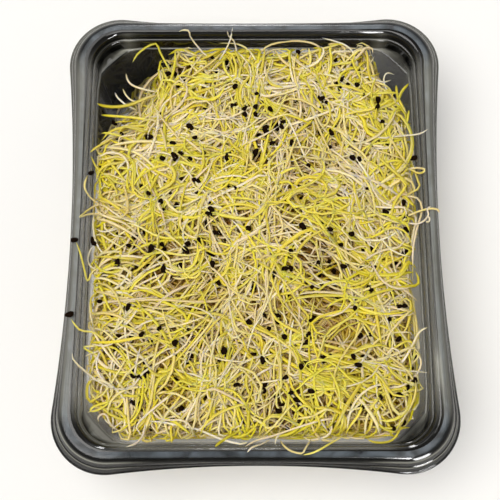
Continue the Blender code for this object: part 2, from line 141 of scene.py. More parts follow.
# The tray
traySizes = {
    "height": 42.0,
    "wall": 0.5,
    "endExtra": 14.4,  # the tray is this much longer than wide on each side of its middle
    "sealHalfWidth": 57.1,  # inner edge of the sealing band
    "sealCorner": 12.6,
    # distances outside the sealing band's inner edge, and the height of the film's inner face there
    "innerFace": ((-6.9, -3.2, -2.4, -2.2, -1.4, -1.2, -0.6, 0), (5, 33.6, 34.3, 38.4, 38.9, 41.2, 42, 42)),
    "chamfer": 10.5,
    "panelRise": 1.4,
    "sidePoints": 12,
    "cornerPoints": 20,
    "roundSteps": 4,  # rows in each rounded fold of the film
    "lugRise": 0.9,  # the small stacking bumps at the ends of the cut corners
    "lugReach": 1.9,
    "lugInset": (2.4, 13.5),
}


def waistedQuarter(halfWidth, halfLength, sideBow, endBow, radius):
    # two arcs that bow inwards, centred outside the tray, and a corner circle tangent to both
    sideArc = (halfLength - radius) ** 2 / (2 * sideBow)
    endArc = (halfWidth - radius) ** 2 / (2 * endBow)
    cx = halfWidth - radius
    cy = halfLength - radius
    for _ in range(12):
        cx = halfWidth + sideArc - math.sqrt((sideArc + radius) ** 2 - cy**2)
        cy = halfLength + endArc - math.sqrt((endArc + radius) ** 2 - cx**2)
    start = math.atan2(-cy, halfWidth + sideArc - cx)
    stop = math.atan2(halfLength + endArc - cy, -cx)
    y = np.linspace(0, cy + radius * math.sin(start), traySizes["sidePoints"] + 1)[:-1]
    side = np.stack([halfWidth + sideArc - np.sqrt(sideArc**2 - y**2), y], axis=1)
    turn = np.linspace(start, stop, traySizes["cornerPoints"] + 1)
    corner = np.stack([cx + radius * np.cos(turn), cy + radius * np.sin(turn)], axis=1)
    x = np.linspace(corner[-1, 0], 0, traySizes["sidePoints"] + 1)[1:]
    end = np.stack([x, halfLength + endArc - np.sqrt(endArc**2 - x**2)], axis=1)
    return np.concatenate([side, corner, end])


def cutQuarter(halfWidth, halfLength, chamfer, radius):
    # a rectangle's quarter with its corner cut at 45 degrees and both new corners rounded
    run = radius * math.tan(math.pi / 8)
    arcSteps = traySizes["cornerPoints"] * 2 // 5
    flat = traySizes["cornerPoints"] - 2 * arcSteps
    lowY = halfLength - chamfer - run
    highX = halfWidth - chamfer - run
    y = np.linspace(0, lowY, traySizes["sidePoints"] + 1)[:-1]
    side = np.stack([np.full_like(y, halfWidth), y], axis=1)
    low = np.linspace(0, math.pi / 4, arcSteps + 1)
    first = np.stack([halfWidth - radius + radius * np.cos(low), lowY + radius * np.sin(low)], axis=1)
    high = low + math.pi / 4
    last = np.stack([highX + radius * np.cos(high), halfLength - radius + radius * np.sin(high)], axis=1)
    share = np.linspace(0, 1, flat + 1)[1:-1, None]
    cut = first[-1] * (1 - share) + last[0] * share
    x = np.linspace(highX, 0, traySizes["sidePoints"] + 1)[1:]
    end = np.stack([x, np.full_like(x, halfLength)], axis=1)
    return np.concatenate([side, first, cut, last, end])


def wholeRing(quarter, height):
    # the quarter turned over into the other three, without the doubled points on the axes
    left = quarter[::-1] * (-1, 1)
    around = np.concatenate([quarter[:-1], left[:-1], -quarter[:-1], -left[:-1]])
    return np.column_stack([around, np.full(len(around), height)])


def trayFolds():
    # the folds of the film's underside from the skirt's foot to the floor panel, with their softness
    top = traySizes["height"] - traySizes["wall"]
    seal = traySizes["sealHalfWidth"]
    extra = traySizes["endExtra"]
    wall = traySizes["wall"]
    cavityTop = 54.0
    cavityFoot = 50.2
    footHeight = 0.03  # a hair above the floor, so that their faces are never in one plane
    panel = traySizes["panelRise"]

    def rim(height, outset, endOutset, radius, softness, sideBow=1e-4, endBow=1e-4):
        shape = waistedQuarter(seal + outset, seal + extra + endOutset, sideBow, endBow, radius)
        return wholeRing(shape, height), softness

    def cavity(height, halfWidth, radius, softness, chamfer=traySizes["chamfer"]):
        return wholeRing(cutQuarter(halfWidth, halfWidth + extra, chamfer, radius), height), softness

    return [
        rim(top - 5.0, 3.65, 4.25, 17.3, 0, 3.1, 2.5),
        rim(top - 4.75, 3.1, 3.7, 16.7, 0.35, 2.95, 2.25),
        rim(top - 3.0, 2.75, 3.45, 16.2, 0.25, 2.55, 1.6),
        rim(top - 2.7, 2.45, 3.2, 15.7, 0.25, 2.3, 1.3),
        rim(top - 0.9, 2.35, 3.15, 15.2, 0.6, 1.8, 0.5),
        rim(top, 1.5, 2.1, 14.3, 0.9, 1.4, 0.2),
        rim(top, 0.15, 0.5, 12.7, 0.1, 1.0, 0.1),
        rim(top, 0.1, 0.1, traySizes["sealCorner"], 0.25),
        rim(top - 0.6, -0.6, -0.6, 12.2, 0.3),
        rim(top - 3.1, -0.8, -0.8, 12.0, 0.15),
        rim(top - 3.2, -1.6, -1.6, 11.6, 0.2),
        rim(top - 7.7, -1.8, -1.8, 11.4, 0.15),
        cavity(33.7, cavityTop + wall, 2.5, 0.25),
        cavity(5.0, cavityFoot + wall, 3.5, 1.6),
        cavity(1.2, 49.4, 3.5, 1.2),
        cavity(footHeight, 47.4, 3.5, 1.2),
        cavity(footHeight, 40.6, 3.0, 0.6),
        cavity(panel, 39.0, 2.5, 0.6),
        cavity(panel, 26.0, 2.5, 0.5, 8.0),
        cavity(panel - 0.5, 25.4, 2.5, 0.4, 8.0),
        cavity(panel - 0.5, 12.0, 2.5, 0, 4.0),
    ]


def softRows(folds):
    # each fold is a quadratic curve that leaves and rejoins the flats its softness away from the fold;
    # number says for each row which fold it belongs to, so that finishes can change from fold to fold
    rows = [folds[0][0]]
    number = [0.0]
    for k in range(1, len(folds) - 1):
        here, softness = folds[k]
        before = folds[k - 1][0]
        after = folds[k + 1][0]
        back = np.linalg.norm(before - here, axis=1).mean()
        ahead = np.linalg.norm(after - here, axis=1).mean()
        start = here + (before - here) * min(0.45, softness / back)
        stop = here + (after - here) * min(0.45, softness / ahead)
        for t in np.linspace(0, 1, traySizes["roundSteps"] + 1):
            rows.append((1 - t) ** 2 * start + 2 * t * (1 - t) * here + t * t * stop)
            number.append(k - 0.2 + 0.4 * t)
        if ahead > 12:
            for share in (0.25, 0.5, 0.75):
                rows.append(stop + (after - stop) * share)
                number.append(k + 0.2 + 0.6 * share)
    rows.append(folds[-1][0])
    number.append(len(folds) - 1.0)
    return np.array(rows), np.array(number)


def raiseLugs(rows):
    # a small inward bump exp(-(d/reach)^2) at each end of the four cut corners, on the upper steps
    seal = traySizes["sealHalfWidth"]
    extra = traySizes["endExtra"]
    for sx, sy in ((-1, -1), (-1, 1), (1, -1), (1, 1)):
        for inX, inY in (traySizes["lugInset"], traySizes["lugInset"][::-1]):
            spot = np.array((sx * (seal - inX), sy * (seal + extra - inY), 35.5))
            gap = np.linalg.norm((rows - spot) * (1, 1, 0.6), axis=2)
            push = traySizes["lugRise"] * np.exp(-((gap / traySizes["lugReach"]) ** 2))
            rows[..., :2] -= push[..., None] * spot[:2] / np.linalg.norm(spot[:2])
    return rows


def makeTray(material):
    rows, number = softRows(trayFolds())
    rows = raiseLugs(rows)
    count, around = rows.shape[:2]
    points = rows.reshape(-1, 3)
    # the knurled band is the outer strip of the flat top, between folds 5 and 6
    flat = np.repeat(np.interp(number, (4.9, 5.15, 5.95, 6.1), (0, 1, 1, 0)), around)
    clear = np.repeat(np.interp(number, *filmLook["clearness"]), around)
    # painted shade: in the bare corners the film is made more opaque, so that its near-black colour darkens
    # them
    for corner in heapSizes["bareCorners"]:
        gap = cornerGap(points[:, 0], points[:, 1], corner)
        clear = clear * (1 - corner[5] * smooth((1.3 - gap) / 0.5) * smooth((points[:, 2] - 4) / 6))
    fold = np.repeat(number, around)
    # along the near and the two long sides the sprouts show through the steps too
    _, near, sides = sideShares(points)
    clear = clear + 0.3 * np.maximum(near, sides) * between(fold, 7.2, 11.7)
    looks = {"band": flat, "clear": clear, "fold": fold}
    # painted highlights and reflections on the film
    looks["pale"] = paintedLightShare(points, fold)
    looks["dull"] = dullShare(points, fold)
    tray = meshFromGrid("tray_film", points, ringFaces(count, around), material, looks)
    closeFloor(tray, (count - 1) * around, around)
    wall = tray.modifiers.new("film", "SOLIDIFY")
    wall.thickness = traySizes["wall"] * mm
    wall.offset = 1.0
    wall.use_even_offset = True
    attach(tray, "root")
    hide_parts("tray")


def sideShares(points):
    # how much a point belongs to the far, the near and the two long sides of the rim
    x, y = np.abs(points[:, 0]), points[:, 1]
    far = smooth((y - 55) / 10) * smooth((52 - x) / 8)
    near = smooth((-y - 55) / 10) * smooth((48 - x) / 10)
    sides = smooth((x - 48) / 6) * smooth((66 - np.abs(y)) / 12)
    return far, near, sides


def between(value, low, high, edge=0.5):
    # 1 from low to high, falling smoothly to 0 over the edge on either side
    return smooth((value - low) / edge + 1) * smooth((high - value) / edge + 1)


def paintedLightShare(points, fold):
    # painted light: ledges, folds, the lugs, the lit sides and a patch on the right are painted pale for the
    # highlights and reflections they would catch: a sum of what each one adds
    x, y, _ = points.T
    far, near, sides = sideShares(points)
    corner = smooth((-y - 55) / 10) * smooth((np.abs(x) - 30) / 15)
    ledge = between(fold, 11.3, 11.7, 0.2)
    # painted reflection: a pale patch on the right side
    paintedReflection = np.exp(-(((y + 46) / 6) ** 2))
    pale = (
        0.4 * smooth(1 - np.abs(fold - 9.5) / 0.45)  # the upper ledge, all round
        + (0.15 + 0.35 * np.maximum(near, sides) + 0.75 * far) * ledge  # the lower ledge
        + 0.32 * sides * between(fold, 5.0, 6.0)  # the sealing band
        + (0.22 * sides + 0.25 * near) * between(fold, 7.2, 11.9)  # the steps
        + 0.3 * nearLeft(points) * between(fold, 8.4, 12.2)
        + 0.18 * smooth((y + 60) / 15) * smooth((4.4 - fold) / 0.4)  # the skirt, but for the near side
        + 0.45 * sides * (x > 0) * paintedReflection * between(fold, 5.8, 7.6)  # a painted reflection on the right
    )
    for line in (2.0, 4.0):  # painted highlights on the skirt's folds round the near corners
        pale = pale + 0.5 * corner * smooth(1 - np.abs(fold - line) / 0.16)
    for side in (-1, 1):  # painted highlights on the stacking lugs of the far corners
        gap = np.hypot(x - side * (traySizes["sealHalfWidth"] - 13.5), y - traySizes["sealHalfWidth"] - 12.0)
        pale = pale + 0.35 * np.exp(-((gap / 2.5) ** 2)) * between(fold, 8.0, 12.0)
    return np.clip(pale, 0, 1)


def nearLeft(points):
    # how much a point belongs to the near left corner
    return smooth((-points[:, 1] - 48) / 8) * smooth((-points[:, 0] - 30) / 8)


def dullShare(points, fold):
    # the near side and the steps of the near left corner are scuffed by handling and mirror less
    return np.maximum(sideShares(points)[1], nearLeft(points) * between(fold, 7.6, 12.4))


def closeFloor(tray, first, around):
    # a fan of triangles from the innermost ring to a middle point, which takes on that ring's looks
    shape = bmesh.new()
    shape.from_mesh(tray.data)
    shape.verts.ensure_lookup_table()
    rim = [shape.verts[first + k] for k in range(around)]
    middle = shape.verts.new((0, 0, rim[0].co.z))
    for layer in shape.verts.layers.float.values():
        middle[layer] = rim[0][layer]
    for a, b in zip(rim, rim[1:] + rim[:1]):
        face = shape.faces.new((a, b, middle))
        face.smooth = True
    shape.to_mesh(tray.data)
    shape.free()


# Clear PET film, thermoformed and glossy. Where it stands over something dark it is made nearly opaque, and
# its near-black colour is painted shade there, on the skirt, the band and the steps.
# The sealing band is knurled by the heated tool, so it scatters light and looks matt grey.
filmLook = {
    # painted shade: the near-black colour of the film where it is nearly opaque
    "smooth": "#0c0b08",
    "band": ("#1f2428", "#575f66"),
    # the pale colour that paints highlights and reflections on the film
    "pale": "#b8b7aa",
    # light let through by each face of the film, at these fold numbers: skirt, band, steps, walls, floor;
    # the low values paint shade with the film's near-black colour
    "clearness": ((0, 4, 5, 6, 11.85, 12.25, 13, 19), (0.14, 0.12, 0.08, 0.08, 0.1, 0.82, 0.86, 0.78)),
    "shine": 0.4,
    "dullShine": 0.1,
    "roughness": 0.08,
    "bandRoughness": 0.4,
    "knurlPitch": 0.7,
    "warpSize": 9.0,
    "mottleSize": 8.0,
    "streakLength": 40.0,
    "streaksPerFold": 6.0,
}


def makeFilm():
    material, shader, node = newMaterial("thermoformed clear PET film")
    names = ("band", "fold", "pale", "dull", "clear")
    band, fold, pale, dull, clear = [node("Attribute", attribute_name=name) for name in names]
    here = {"Vector": (node("TexCoord"), "Object")}
    size = filmLook["mottleSize"] * mm
    mottle = node("TexNoise", {"Scale": 1 / size, "Detail": 4.0, "Distortion": 1.0, **here})
    knurled = node("ValToRGB", {"Fac": (mottle, "Fac")}, [*zip((0.35, 0.65), filmLook["band"])])
    tints = {"Factor": (band, "Fac"), "A": linear(filmLook["smooth"]), "B": (knurled, "Color")}
    colour = node("Mix", tints, data_type="RGBA")
    # the painted highlights are streaked along the folds: a noise that changes fast across them and slowly
    # along
    apart = node("SeparateXYZ", here)
    slow = 1 / (filmLook["streakLength"] * mm)
    sources = {"X": (apart, "X"), "Y": (apart, "Y"), "Z": (fold, "Fac")}
    along = node("CombineXYZ", {
        axis: (node("Math", {0: sources[axis], 1: factor}, operation="MULTIPLY"), "Value")
        for axis, factor in (("X", slow), ("Y", slow), ("Z", filmLook["streaksPerFold"]))
    })
    lightStreaks = node("TexNoise", {"Scale": 1.0, "Detail": 3.0, "Vector": (along, "Vector")})
    limits = {"From Min": 0.3, "From Max": 0.7, "To Min": 0.6, "To Max": 1.3}
    share = node("MapRange", {"Value": (lightStreaks, "Fac"), **limits})
    # painted light: the pale colour is mixed in by the painted-light share, broken into streaks
    paintedLightAmount = node("Math", {0: (pale, "Fac"), 1: (share, "Result")}, operation="MULTIPLY", use_clamp=True)
    tints = {"Factor": (paintedLightAmount, "Value"), "A": (colour, "Result"), "B": linear(filmLook["pale"])}
    shown = node("Mix", tints, data_type="RGBA")
    limits = {"To Min": filmLook["shine"], "To Max": filmLook["dullShine"]}
    shine = node("MapRange", {"Value": (dull, "Fac"), **limits})
    limits = {"To Min": filmLook["roughness"], "To Max": filmLook["bandRoughness"]}
    rough = node("MapRange", {"Value": (band, "Fac"), **limits})
    # painted shade: where the film is nearly opaque its near-black colour shows
    opaque = node("Math", {0: 1.0, 1: (clear, "Fac")}, operation="SUBTRACT")
    # the knurl is a lattice of cells; the warp is the slow unevenness of drawn film
    size = filmLook["knurlPitch"] * mm
    knurl = node("TexVoronoi", {"Scale": 1 / size, "Randomness": 0.35, **here}, feature="F1")
    warp = node("TexNoise", {"Scale": 1 / (filmLook["warpSize"] * mm), "Detail": 2.0, **here})
    uneven = node("Bump", {"Strength": 0.12, "Distance": 0.0012, "Height": (warp, "Fac")})
    strength = node("Math", {0: (band, "Fac"), 1: 0.6}, operation="MULTIPLY")
    bump = node("Bump", {
        "Distance": 0.0002, "Height": (knurl, "Distance"),
        "Strength": (strength, "Value"), "Normal": (uneven, "Normal"),
    })
    setSockets(shader, {
        "Base Color": (shown, "Result"),
        "IOR": 1.57,
        "Specular IOR Level": (shine, "Result"),
        "Roughness": (rough, "Result"),
        "Alpha": (opaque, "Value"),
        "Normal": (bump, "Normal"),
    })
    return material


# The heap's form
heapSizes = {
    "edgeLevel": 37.0,
    "dome": 7.2,
    "edgeFall": 3.0,  # how far the heap rolls down beside the wall, and over what width
    "edgeReach": 5.0,
    "halfWidth": 54.0,
    "halfLength": 68.4,
    "lumps": (
        (0.115, 0.045, 0.9, 1.1), (-0.06, 0.105, 2.3, 0.9), (0.19, -0.14, 4.0, 0.6), (0.05, 0.2, 5.1, 0.6),
    ),
    # signs in x and y of each corner left bare, the reach of the hollow along x and y, its depth,
    # and how much painted shade darkens the film there, made more opaque, with nothing pale behind it
    "bareCorners": (
        (-1, 1, 29, 43, 27, 0.86),
        (1, 1, 17, 26, 18, 0.5),
        (1, -1, 9, 16, 13, 0.3),
        (-1, -1, 10, 13, 12, 0.5),
    ),
    "filmGap": 0.45,
    "topChamfer": 6.7,  # what is cut off the corners of the upper steps
}


def cavityHalfWidth(z):
    # the film's inner face, from its foot up over both steps to the sealing band
    return np.interp(z, (2, 5, 33.6, 34.2, 38.4, 39.0, 42.0), (47.5, 50.2, 53.9, 54.9, 55.1, 56.0, 57.0))


def domeTop(x, y):
    # a low dome plus slow waves
    across = np.minimum(1.0, np.abs(x) / heapSizes["halfWidth"])
    along = np.minimum(1.0, np.abs(y) / heapSizes["halfLength"])
    height = heapSizes["edgeLevel"] + heapSizes["dome"] * (1 - across**3) * (1 - along**3)
    for kx, ky, phase, rise in heapSizes["lumps"]:
        height = height + rise * np.sin(kx * x + ky * y + phase)
    return height


def levelTop(x, y):
    # the dome, rolled down along the walls
    reach = heapSizes["edgeReach"]
    nearWall = np.maximum(np.abs(x) - heapSizes["halfWidth"], np.abs(y) - heapSizes["halfLength"]) + reach
    return domeTop(x, y) - heapSizes["edgeFall"] * smooth(nearWall / reach)


def cornerGap(x, y, corner):
    # 0 at the corner of the cavity and 1 on the edge of its hollow, an ellipse
    sx, sy, reachX, reachY = corner[:4]
    x = x - sx * heapSizes["halfWidth"]
    y = y - sy * heapSizes["halfLength"]
    return np.hypot(x / reachX, y / reachY)


def heapTop(x, y):
    # the level top less a smooth fall inside each hollow
    height = levelTop(x, y)
    for corner in heapSizes["bareCorners"]:
        height = height - corner[4] * smooth((1 - cornerGap(x, y, corner)) / 0.7)
    return height


def softHold(value, limit, softness):
    # unchanged well inside the limit, then bending over so that it never passes it
    size = np.abs(value)
    start = limit - softness
    over = np.maximum(0.0, size - start)
    held = np.where(size > start, start + softness * (1 - np.exp(-over / softness)), size)
    return np.sign(value) * held


def holdInTray(x, y, z, radius, softness=4.0):
    # keeps plan points inside the walls and the cut corners at their own height
    half = cavityHalfWidth(z) - radius - heapSizes["filmGap"]
    x = softHold(x, half, softness)
    y = softHold(y, half + traySizes["endExtra"], softness)
    cut = np.where(z < 34.0, traySizes["chamfer"], heapSizes["topChamfer"])
    most = 2 * half + traySizes["endExtra"] - cut - heapSizes["filmGap"]
    excess = np.maximum(0.0, np.abs(x) + np.abs(y) - most) / 2
    return x - np.sign(x) * excess, y - np.sign(y) * excess


# Seedlings: every one is a thin pale root that thickens and turns yellow towards its tip
seedlings = {
    "seed": 7,
    "sections": 12,
    "sides": 4,
    "bunches": 540,
    "perBunch": 10,
    "length": (20.0, 56.0),
    "rootRadius": (0.31, 0.44),
    "shootRadius": (0.4, 0.62),
    "tufts": 0.08,
    "placeSpread": 3.0,  # how far the seedlings of a bunch stray from its place, and turn from its heading
    "headingSpread": 0.26,
    "turnedRound": 0.35,  # share of a bunch that lies the other way round
    "curlyBunches": 0.3,
    "hookedTips": 0.3,
    "risingTips": 0.22,
    "topDepth": 8.0,
    "weave": (1.0, 3.4),  # how far a seedling rises and dives along its length
    "wallReach": 54.3,
    "sideInset": (0.0, 2.2, 0.8, 0.0),  # bare margin at the left, right, near and far walls
    "spread": (51.0, 65.0),
    "patches": ((0.17, 0.11, 1.0), (-0.1, 0.19, 2.6), (0.24, -0.07, 4.4)),
    "fringe": 300,
    "fringeRing": (53.0, 67.0),
    "wallSeedlings": 1200,
    "floorSeedlings": 450,
    "yellowBelow": 0.42,  # bunches that score less are yellow ones
    "yellowShare": (0.17, 0.85),  # share of yellow seedlings in pale and in yellow bunches
    "paleTone": (0.1, 0.45),
    "yellowTone": (0.6, 1.0),
    "shade": (0.8, 1.08),
}


# the even steps along every seedling, from root to tip
steps = np.linspace(0, 1, seedlings["sections"] + 1)[None, :]


def wave(rounds, start=0.0):
    # a sine that goes through so many rounds along each seedling
    return np.sin(2 * np.pi * (steps * rounds + start))


def planPaths(rng, x, y, heading, length, bend, hook):
    # the heading turns by bend along the length, sways once and hooks quickly near the tip;
    # the points are the running sum of even steps along it, centred on x and y
    n = len(x)
    middle = seedlings["sections"] // 2
    sway = rng.normal(0, 0.5, (n, 1)) * wave(rng.uniform(0.6, 1.3, (n, 1)), rng.random((n, 1)))
    turn = heading[:, None] + bend[:, None] * (steps - 0.5) + sway
    turn = turn + hook[:, None] * smooth((steps - 0.78) / 0.22)
    step = length[:, None] / seedlings["sections"]
    px = np.cumsum(step * np.cos(turn), axis=1)
    py = np.cumsum(step * np.sin(turn), axis=1)
    px = px - px[:, middle, None] + x[:, None]
    py = py - py[:, middle, None] + y[:, None]
    return px, py


def slideIn(px, py, inset, share):
    # each path is moved whole, out of the hollows by its share and then off the walls by its inset
    left, right, near, far = seedlings["sideInset"]
    for _ in range(2):
        for corner in heapSizes["bareCorners"]:
            lack = np.maximum(0.0, share - cornerGap(px, py, corner).min(axis=1))[:, None]
            px = px - corner[0] * corner[2] * 0.8 * lack
            py = py - corner[1] * corner[3] * 0.8 * lack
        limit = seedlings["wallReach"] - inset
        px = px - np.maximum(0.0, px.max(axis=1) - limit + right)[:, None]
        px = px - np.minimum(0.0, px.min(axis=1) + limit - left)[:, None]
        limit = limit + traySizes["endExtra"]
        py = py - np.maximum(0.0, py.max(axis=1) - limit + far)[:, None]
        py = py - np.minimum(0.0, py.min(axis=1) + limit - near)[:, None]
    return px, py


def topPaths(rng):
    # bunches of seedlings share a place, a heading and a bend, and each differs a little;
    # every one weaves: its crests lie near the top of the heap and its troughs dive below others
    bunches = seedlings["bunches"]
    each = seedlings["perBunch"]
    n = bunches * each

    def shared(values):
        return np.repeat(values, each)

    # some bunches are tight tufts of short yellow shoots
    tuft = shared(rng.random(bunches) < seedlings["tufts"])
    loose = np.where(tuft, 0.35, 1.0)
    spreadX, spreadY = seedlings["spread"]
    x = shared(rng.uniform(-spreadX, spreadX, bunches)) + rng.normal(0, seedlings["placeSpread"], n) * loose
    y = shared(rng.uniform(-spreadY, spreadY, bunches)) + rng.normal(0, seedlings["placeSpread"], n) * loose
    heading = shared(rng.uniform(0, 2 * np.pi, bunches))
    heading = heading + rng.normal(0, seedlings["headingSpread"], n) * loose
    heading = heading + np.pi * (rng.random(n) < np.where(tuft, 0.0, seedlings["turnedRound"]))
    curly = shared(rng.random(bunches) < seedlings["curlyBunches"])
    bend = shared(rng.normal(0, 1.2, bunches)) * np.where(curly, 2.2, 1.0) + rng.normal(0, 0.6, n)
    hooked = rng.random(n) < seedlings["hookedTips"]
    hook = np.where(hooked, rng.choice((-1, 1), n) * rng.uniform(0.8, 2.4, n), 0.0)
    length = rng.uniform(*seedlings["length"], n) * np.where(tuft, 0.5, 1.0)
    px, py = planPaths(rng, x, y, heading, length, bend, hook)
    depth = shared(rng.random(bunches) ** 1.1 * seedlings["topDepth"]) + rng.normal(0, 0.8, n)
    depth = np.clip(depth, 0.0, seedlings["topDepth"] + 1.5) * np.where(tuft, 0.2, 1.0)
    inset = rng.uniform(0.2, 3.4, n)
    share = 1.0 - depth / 14.0 + rng.normal(0, 0.09, n)
    px, py = slideIn(px, py, inset, share)
    weave = rng.uniform(*seedlings["weave"], (n, 1)) * np.minimum(1.0, length / 40.0)[:, None]
    weave = weave * (0.35 + 0.65 * np.clip(depth / 4.0, 0, 1))[:, None]
    swing = wave(length[:, None] / rng.uniform(24, 46, (n, 1)), rng.random((n, 1)))
    rising = rng.random(n) < seedlings["risingTips"]
    tip = np.where(rising, rng.uniform(1.0, 4.0, n), rng.uniform(-2.0, 0.6, n))[:, None]
    z = 0.4 * heapTop(px, py) + 0.6 * levelTop(px, py) - depth[:, None] - weave * (1 - swing)
    z = z + tip * smooth((steps - 0.62) / 0.38)
    px, py = holdInTray(px, py, z, 0.6, 1.2)
    # yellow bunches keep company: slow waves over the heap say where they are common
    patch = sum(np.sin(kx * x + ky * y + phase) for kx, ky, phase in seedlings["patches"])
    course = np.stack([px, py, np.clip(z, 3.0, roof - 0.7)], axis=-1)
    return course, shared(rng.random(bunches)) - 0.16 * patch - tuft


def fringePaths(rng):
    # loose ends along the edge of the heap: each is set by its tip, which points outwards and curls
    n = seedlings["fringe"]
    turn = rng.uniform(0, 2 * np.pi, n)
    ringX, ringY = seedlings["fringeRing"]
    ring = 1 / np.maximum(np.abs(np.cos(turn)) / ringX, np.abs(np.sin(turn)) / ringY)
    tipX = ring * np.cos(turn)
    tipY = ring * np.sin(turn)
    endward = np.where(tipY > 0, np.pi / 2, -np.pi / 2)
    outward = np.where(np.abs(tipX) > ringX - 0.1, np.where(tipX > 0, 0.0, np.pi), endward)
    hook = np.where(rng.random(n) < 0.5, rng.choice((-1, 1), n) * rng.uniform(1.0, 3.2, n), 0.0)
    bend = rng.normal(0, 1.2, n)
    px, py = planPaths(
        rng, tipX, tipY, outward + rng.normal(0, 0.75, n) - bend * 0.3, rng.uniform(14, 34, n), bend, hook
    )
    px = px - px[:, -1:] + tipX[:, None]
    py = py - py[:, -1:] + tipY[:, None]
    inset = rng.uniform(-2.2, 2.5, n)
    px, py = slideIn(px, py, inset, rng.uniform(0.75, 1.02, n))
    rise = rng.uniform(-0.5, 3.2, (n, 1))
    z = levelTop(px, py) - 3.2 * (1 - smooth(steps / 0.5)) + rise * smooth((steps - 0.3) / 0.7)
    px, py = holdInTray(px, py, np.maximum(z, 36.0), 0.6, 0.8)
    return np.stack([px, py, np.clip(z, 34.8, roof - 0.7)], axis=-1), rng.random(n)


def wallPaths(rng):
    # paths drawn on the unrolled inside of the wall and wrapped back round the tray
    n = seedlings["wallSeedlings"]
    plan = 51.0  # half the width of the ring that the wall is unrolled along
    ring = wholeRing(cutQuarter(plan, plan + traySizes["endExtra"], traySizes["chamfer"], 3.0), 0)[:, :2]
    ring = np.concatenate([ring, ring[:1]])
    run = np.concatenate([[0], np.cumsum(np.linalg.norm(np.diff(ring, axis=0), axis=1))])
    x = rng.uniform(0, run[-1], n)
    y = rng.uniform(3.5, 34, n)
    heading = rng.normal(0, 0.85, n) + np.pi * (rng.random(n) < 0.5)
    arc, height = planPaths(rng, x, y, heading, rng.uniform(22, 50, n), rng.normal(0, 1.1, n), np.zeros(n))
    arc = np.mod(arc, run[-1])
    along = np.interp(arc, run, ring[:, 0])
    across = np.interp(arc, run, ring[:, 1])
    ceiling = heapTop(along, across) - 3.0
    height = np.minimum(2.9 + np.abs(height - 2.9), ceiling - np.abs(ceiling - height) * 0.3)
    height = np.clip(height, 2.9, 40)
    inset = (rng.random((n, 1)) ** 1.4 * 5.0) + 0.5 * wave(1, rng.random((n, 1)))
    half = cavityHalfWidth(height) - 0.6 - heapSizes["filmGap"] - np.abs(inset)
    px = along * half / plan
    py = across * (half + traySizes["endExtra"]) / (plan + traySizes["endExtra"])
    return np.stack([px, py, height], axis=-1), rng.random(n)


def floorPaths(rng):
    # a flat layer over the floor panel, which shows from below through the film
    n = seedlings["floorSeedlings"]
    x = rng.uniform(-44, 44, n)
    y = rng.uniform(-58, 58, n)
    heading = rng.uniform(0, 2 * np.pi, n)
    px, py = planPaths(rng, x, y, heading, rng.uniform(25, 50, n), rng.normal(0, 1.2, n), np.zeros(n))
    z = 2.9 + rng.random((n, 1)) ** 1.3 * 3.5 + 0.4 * wave(1, rng.random((n, 1)))
    z = np.maximum(z, 2.7)
    px, py = holdInTray(px, py, z, 1.5)
    return np.stack([px, py, z], axis=-1), rng.random(n)
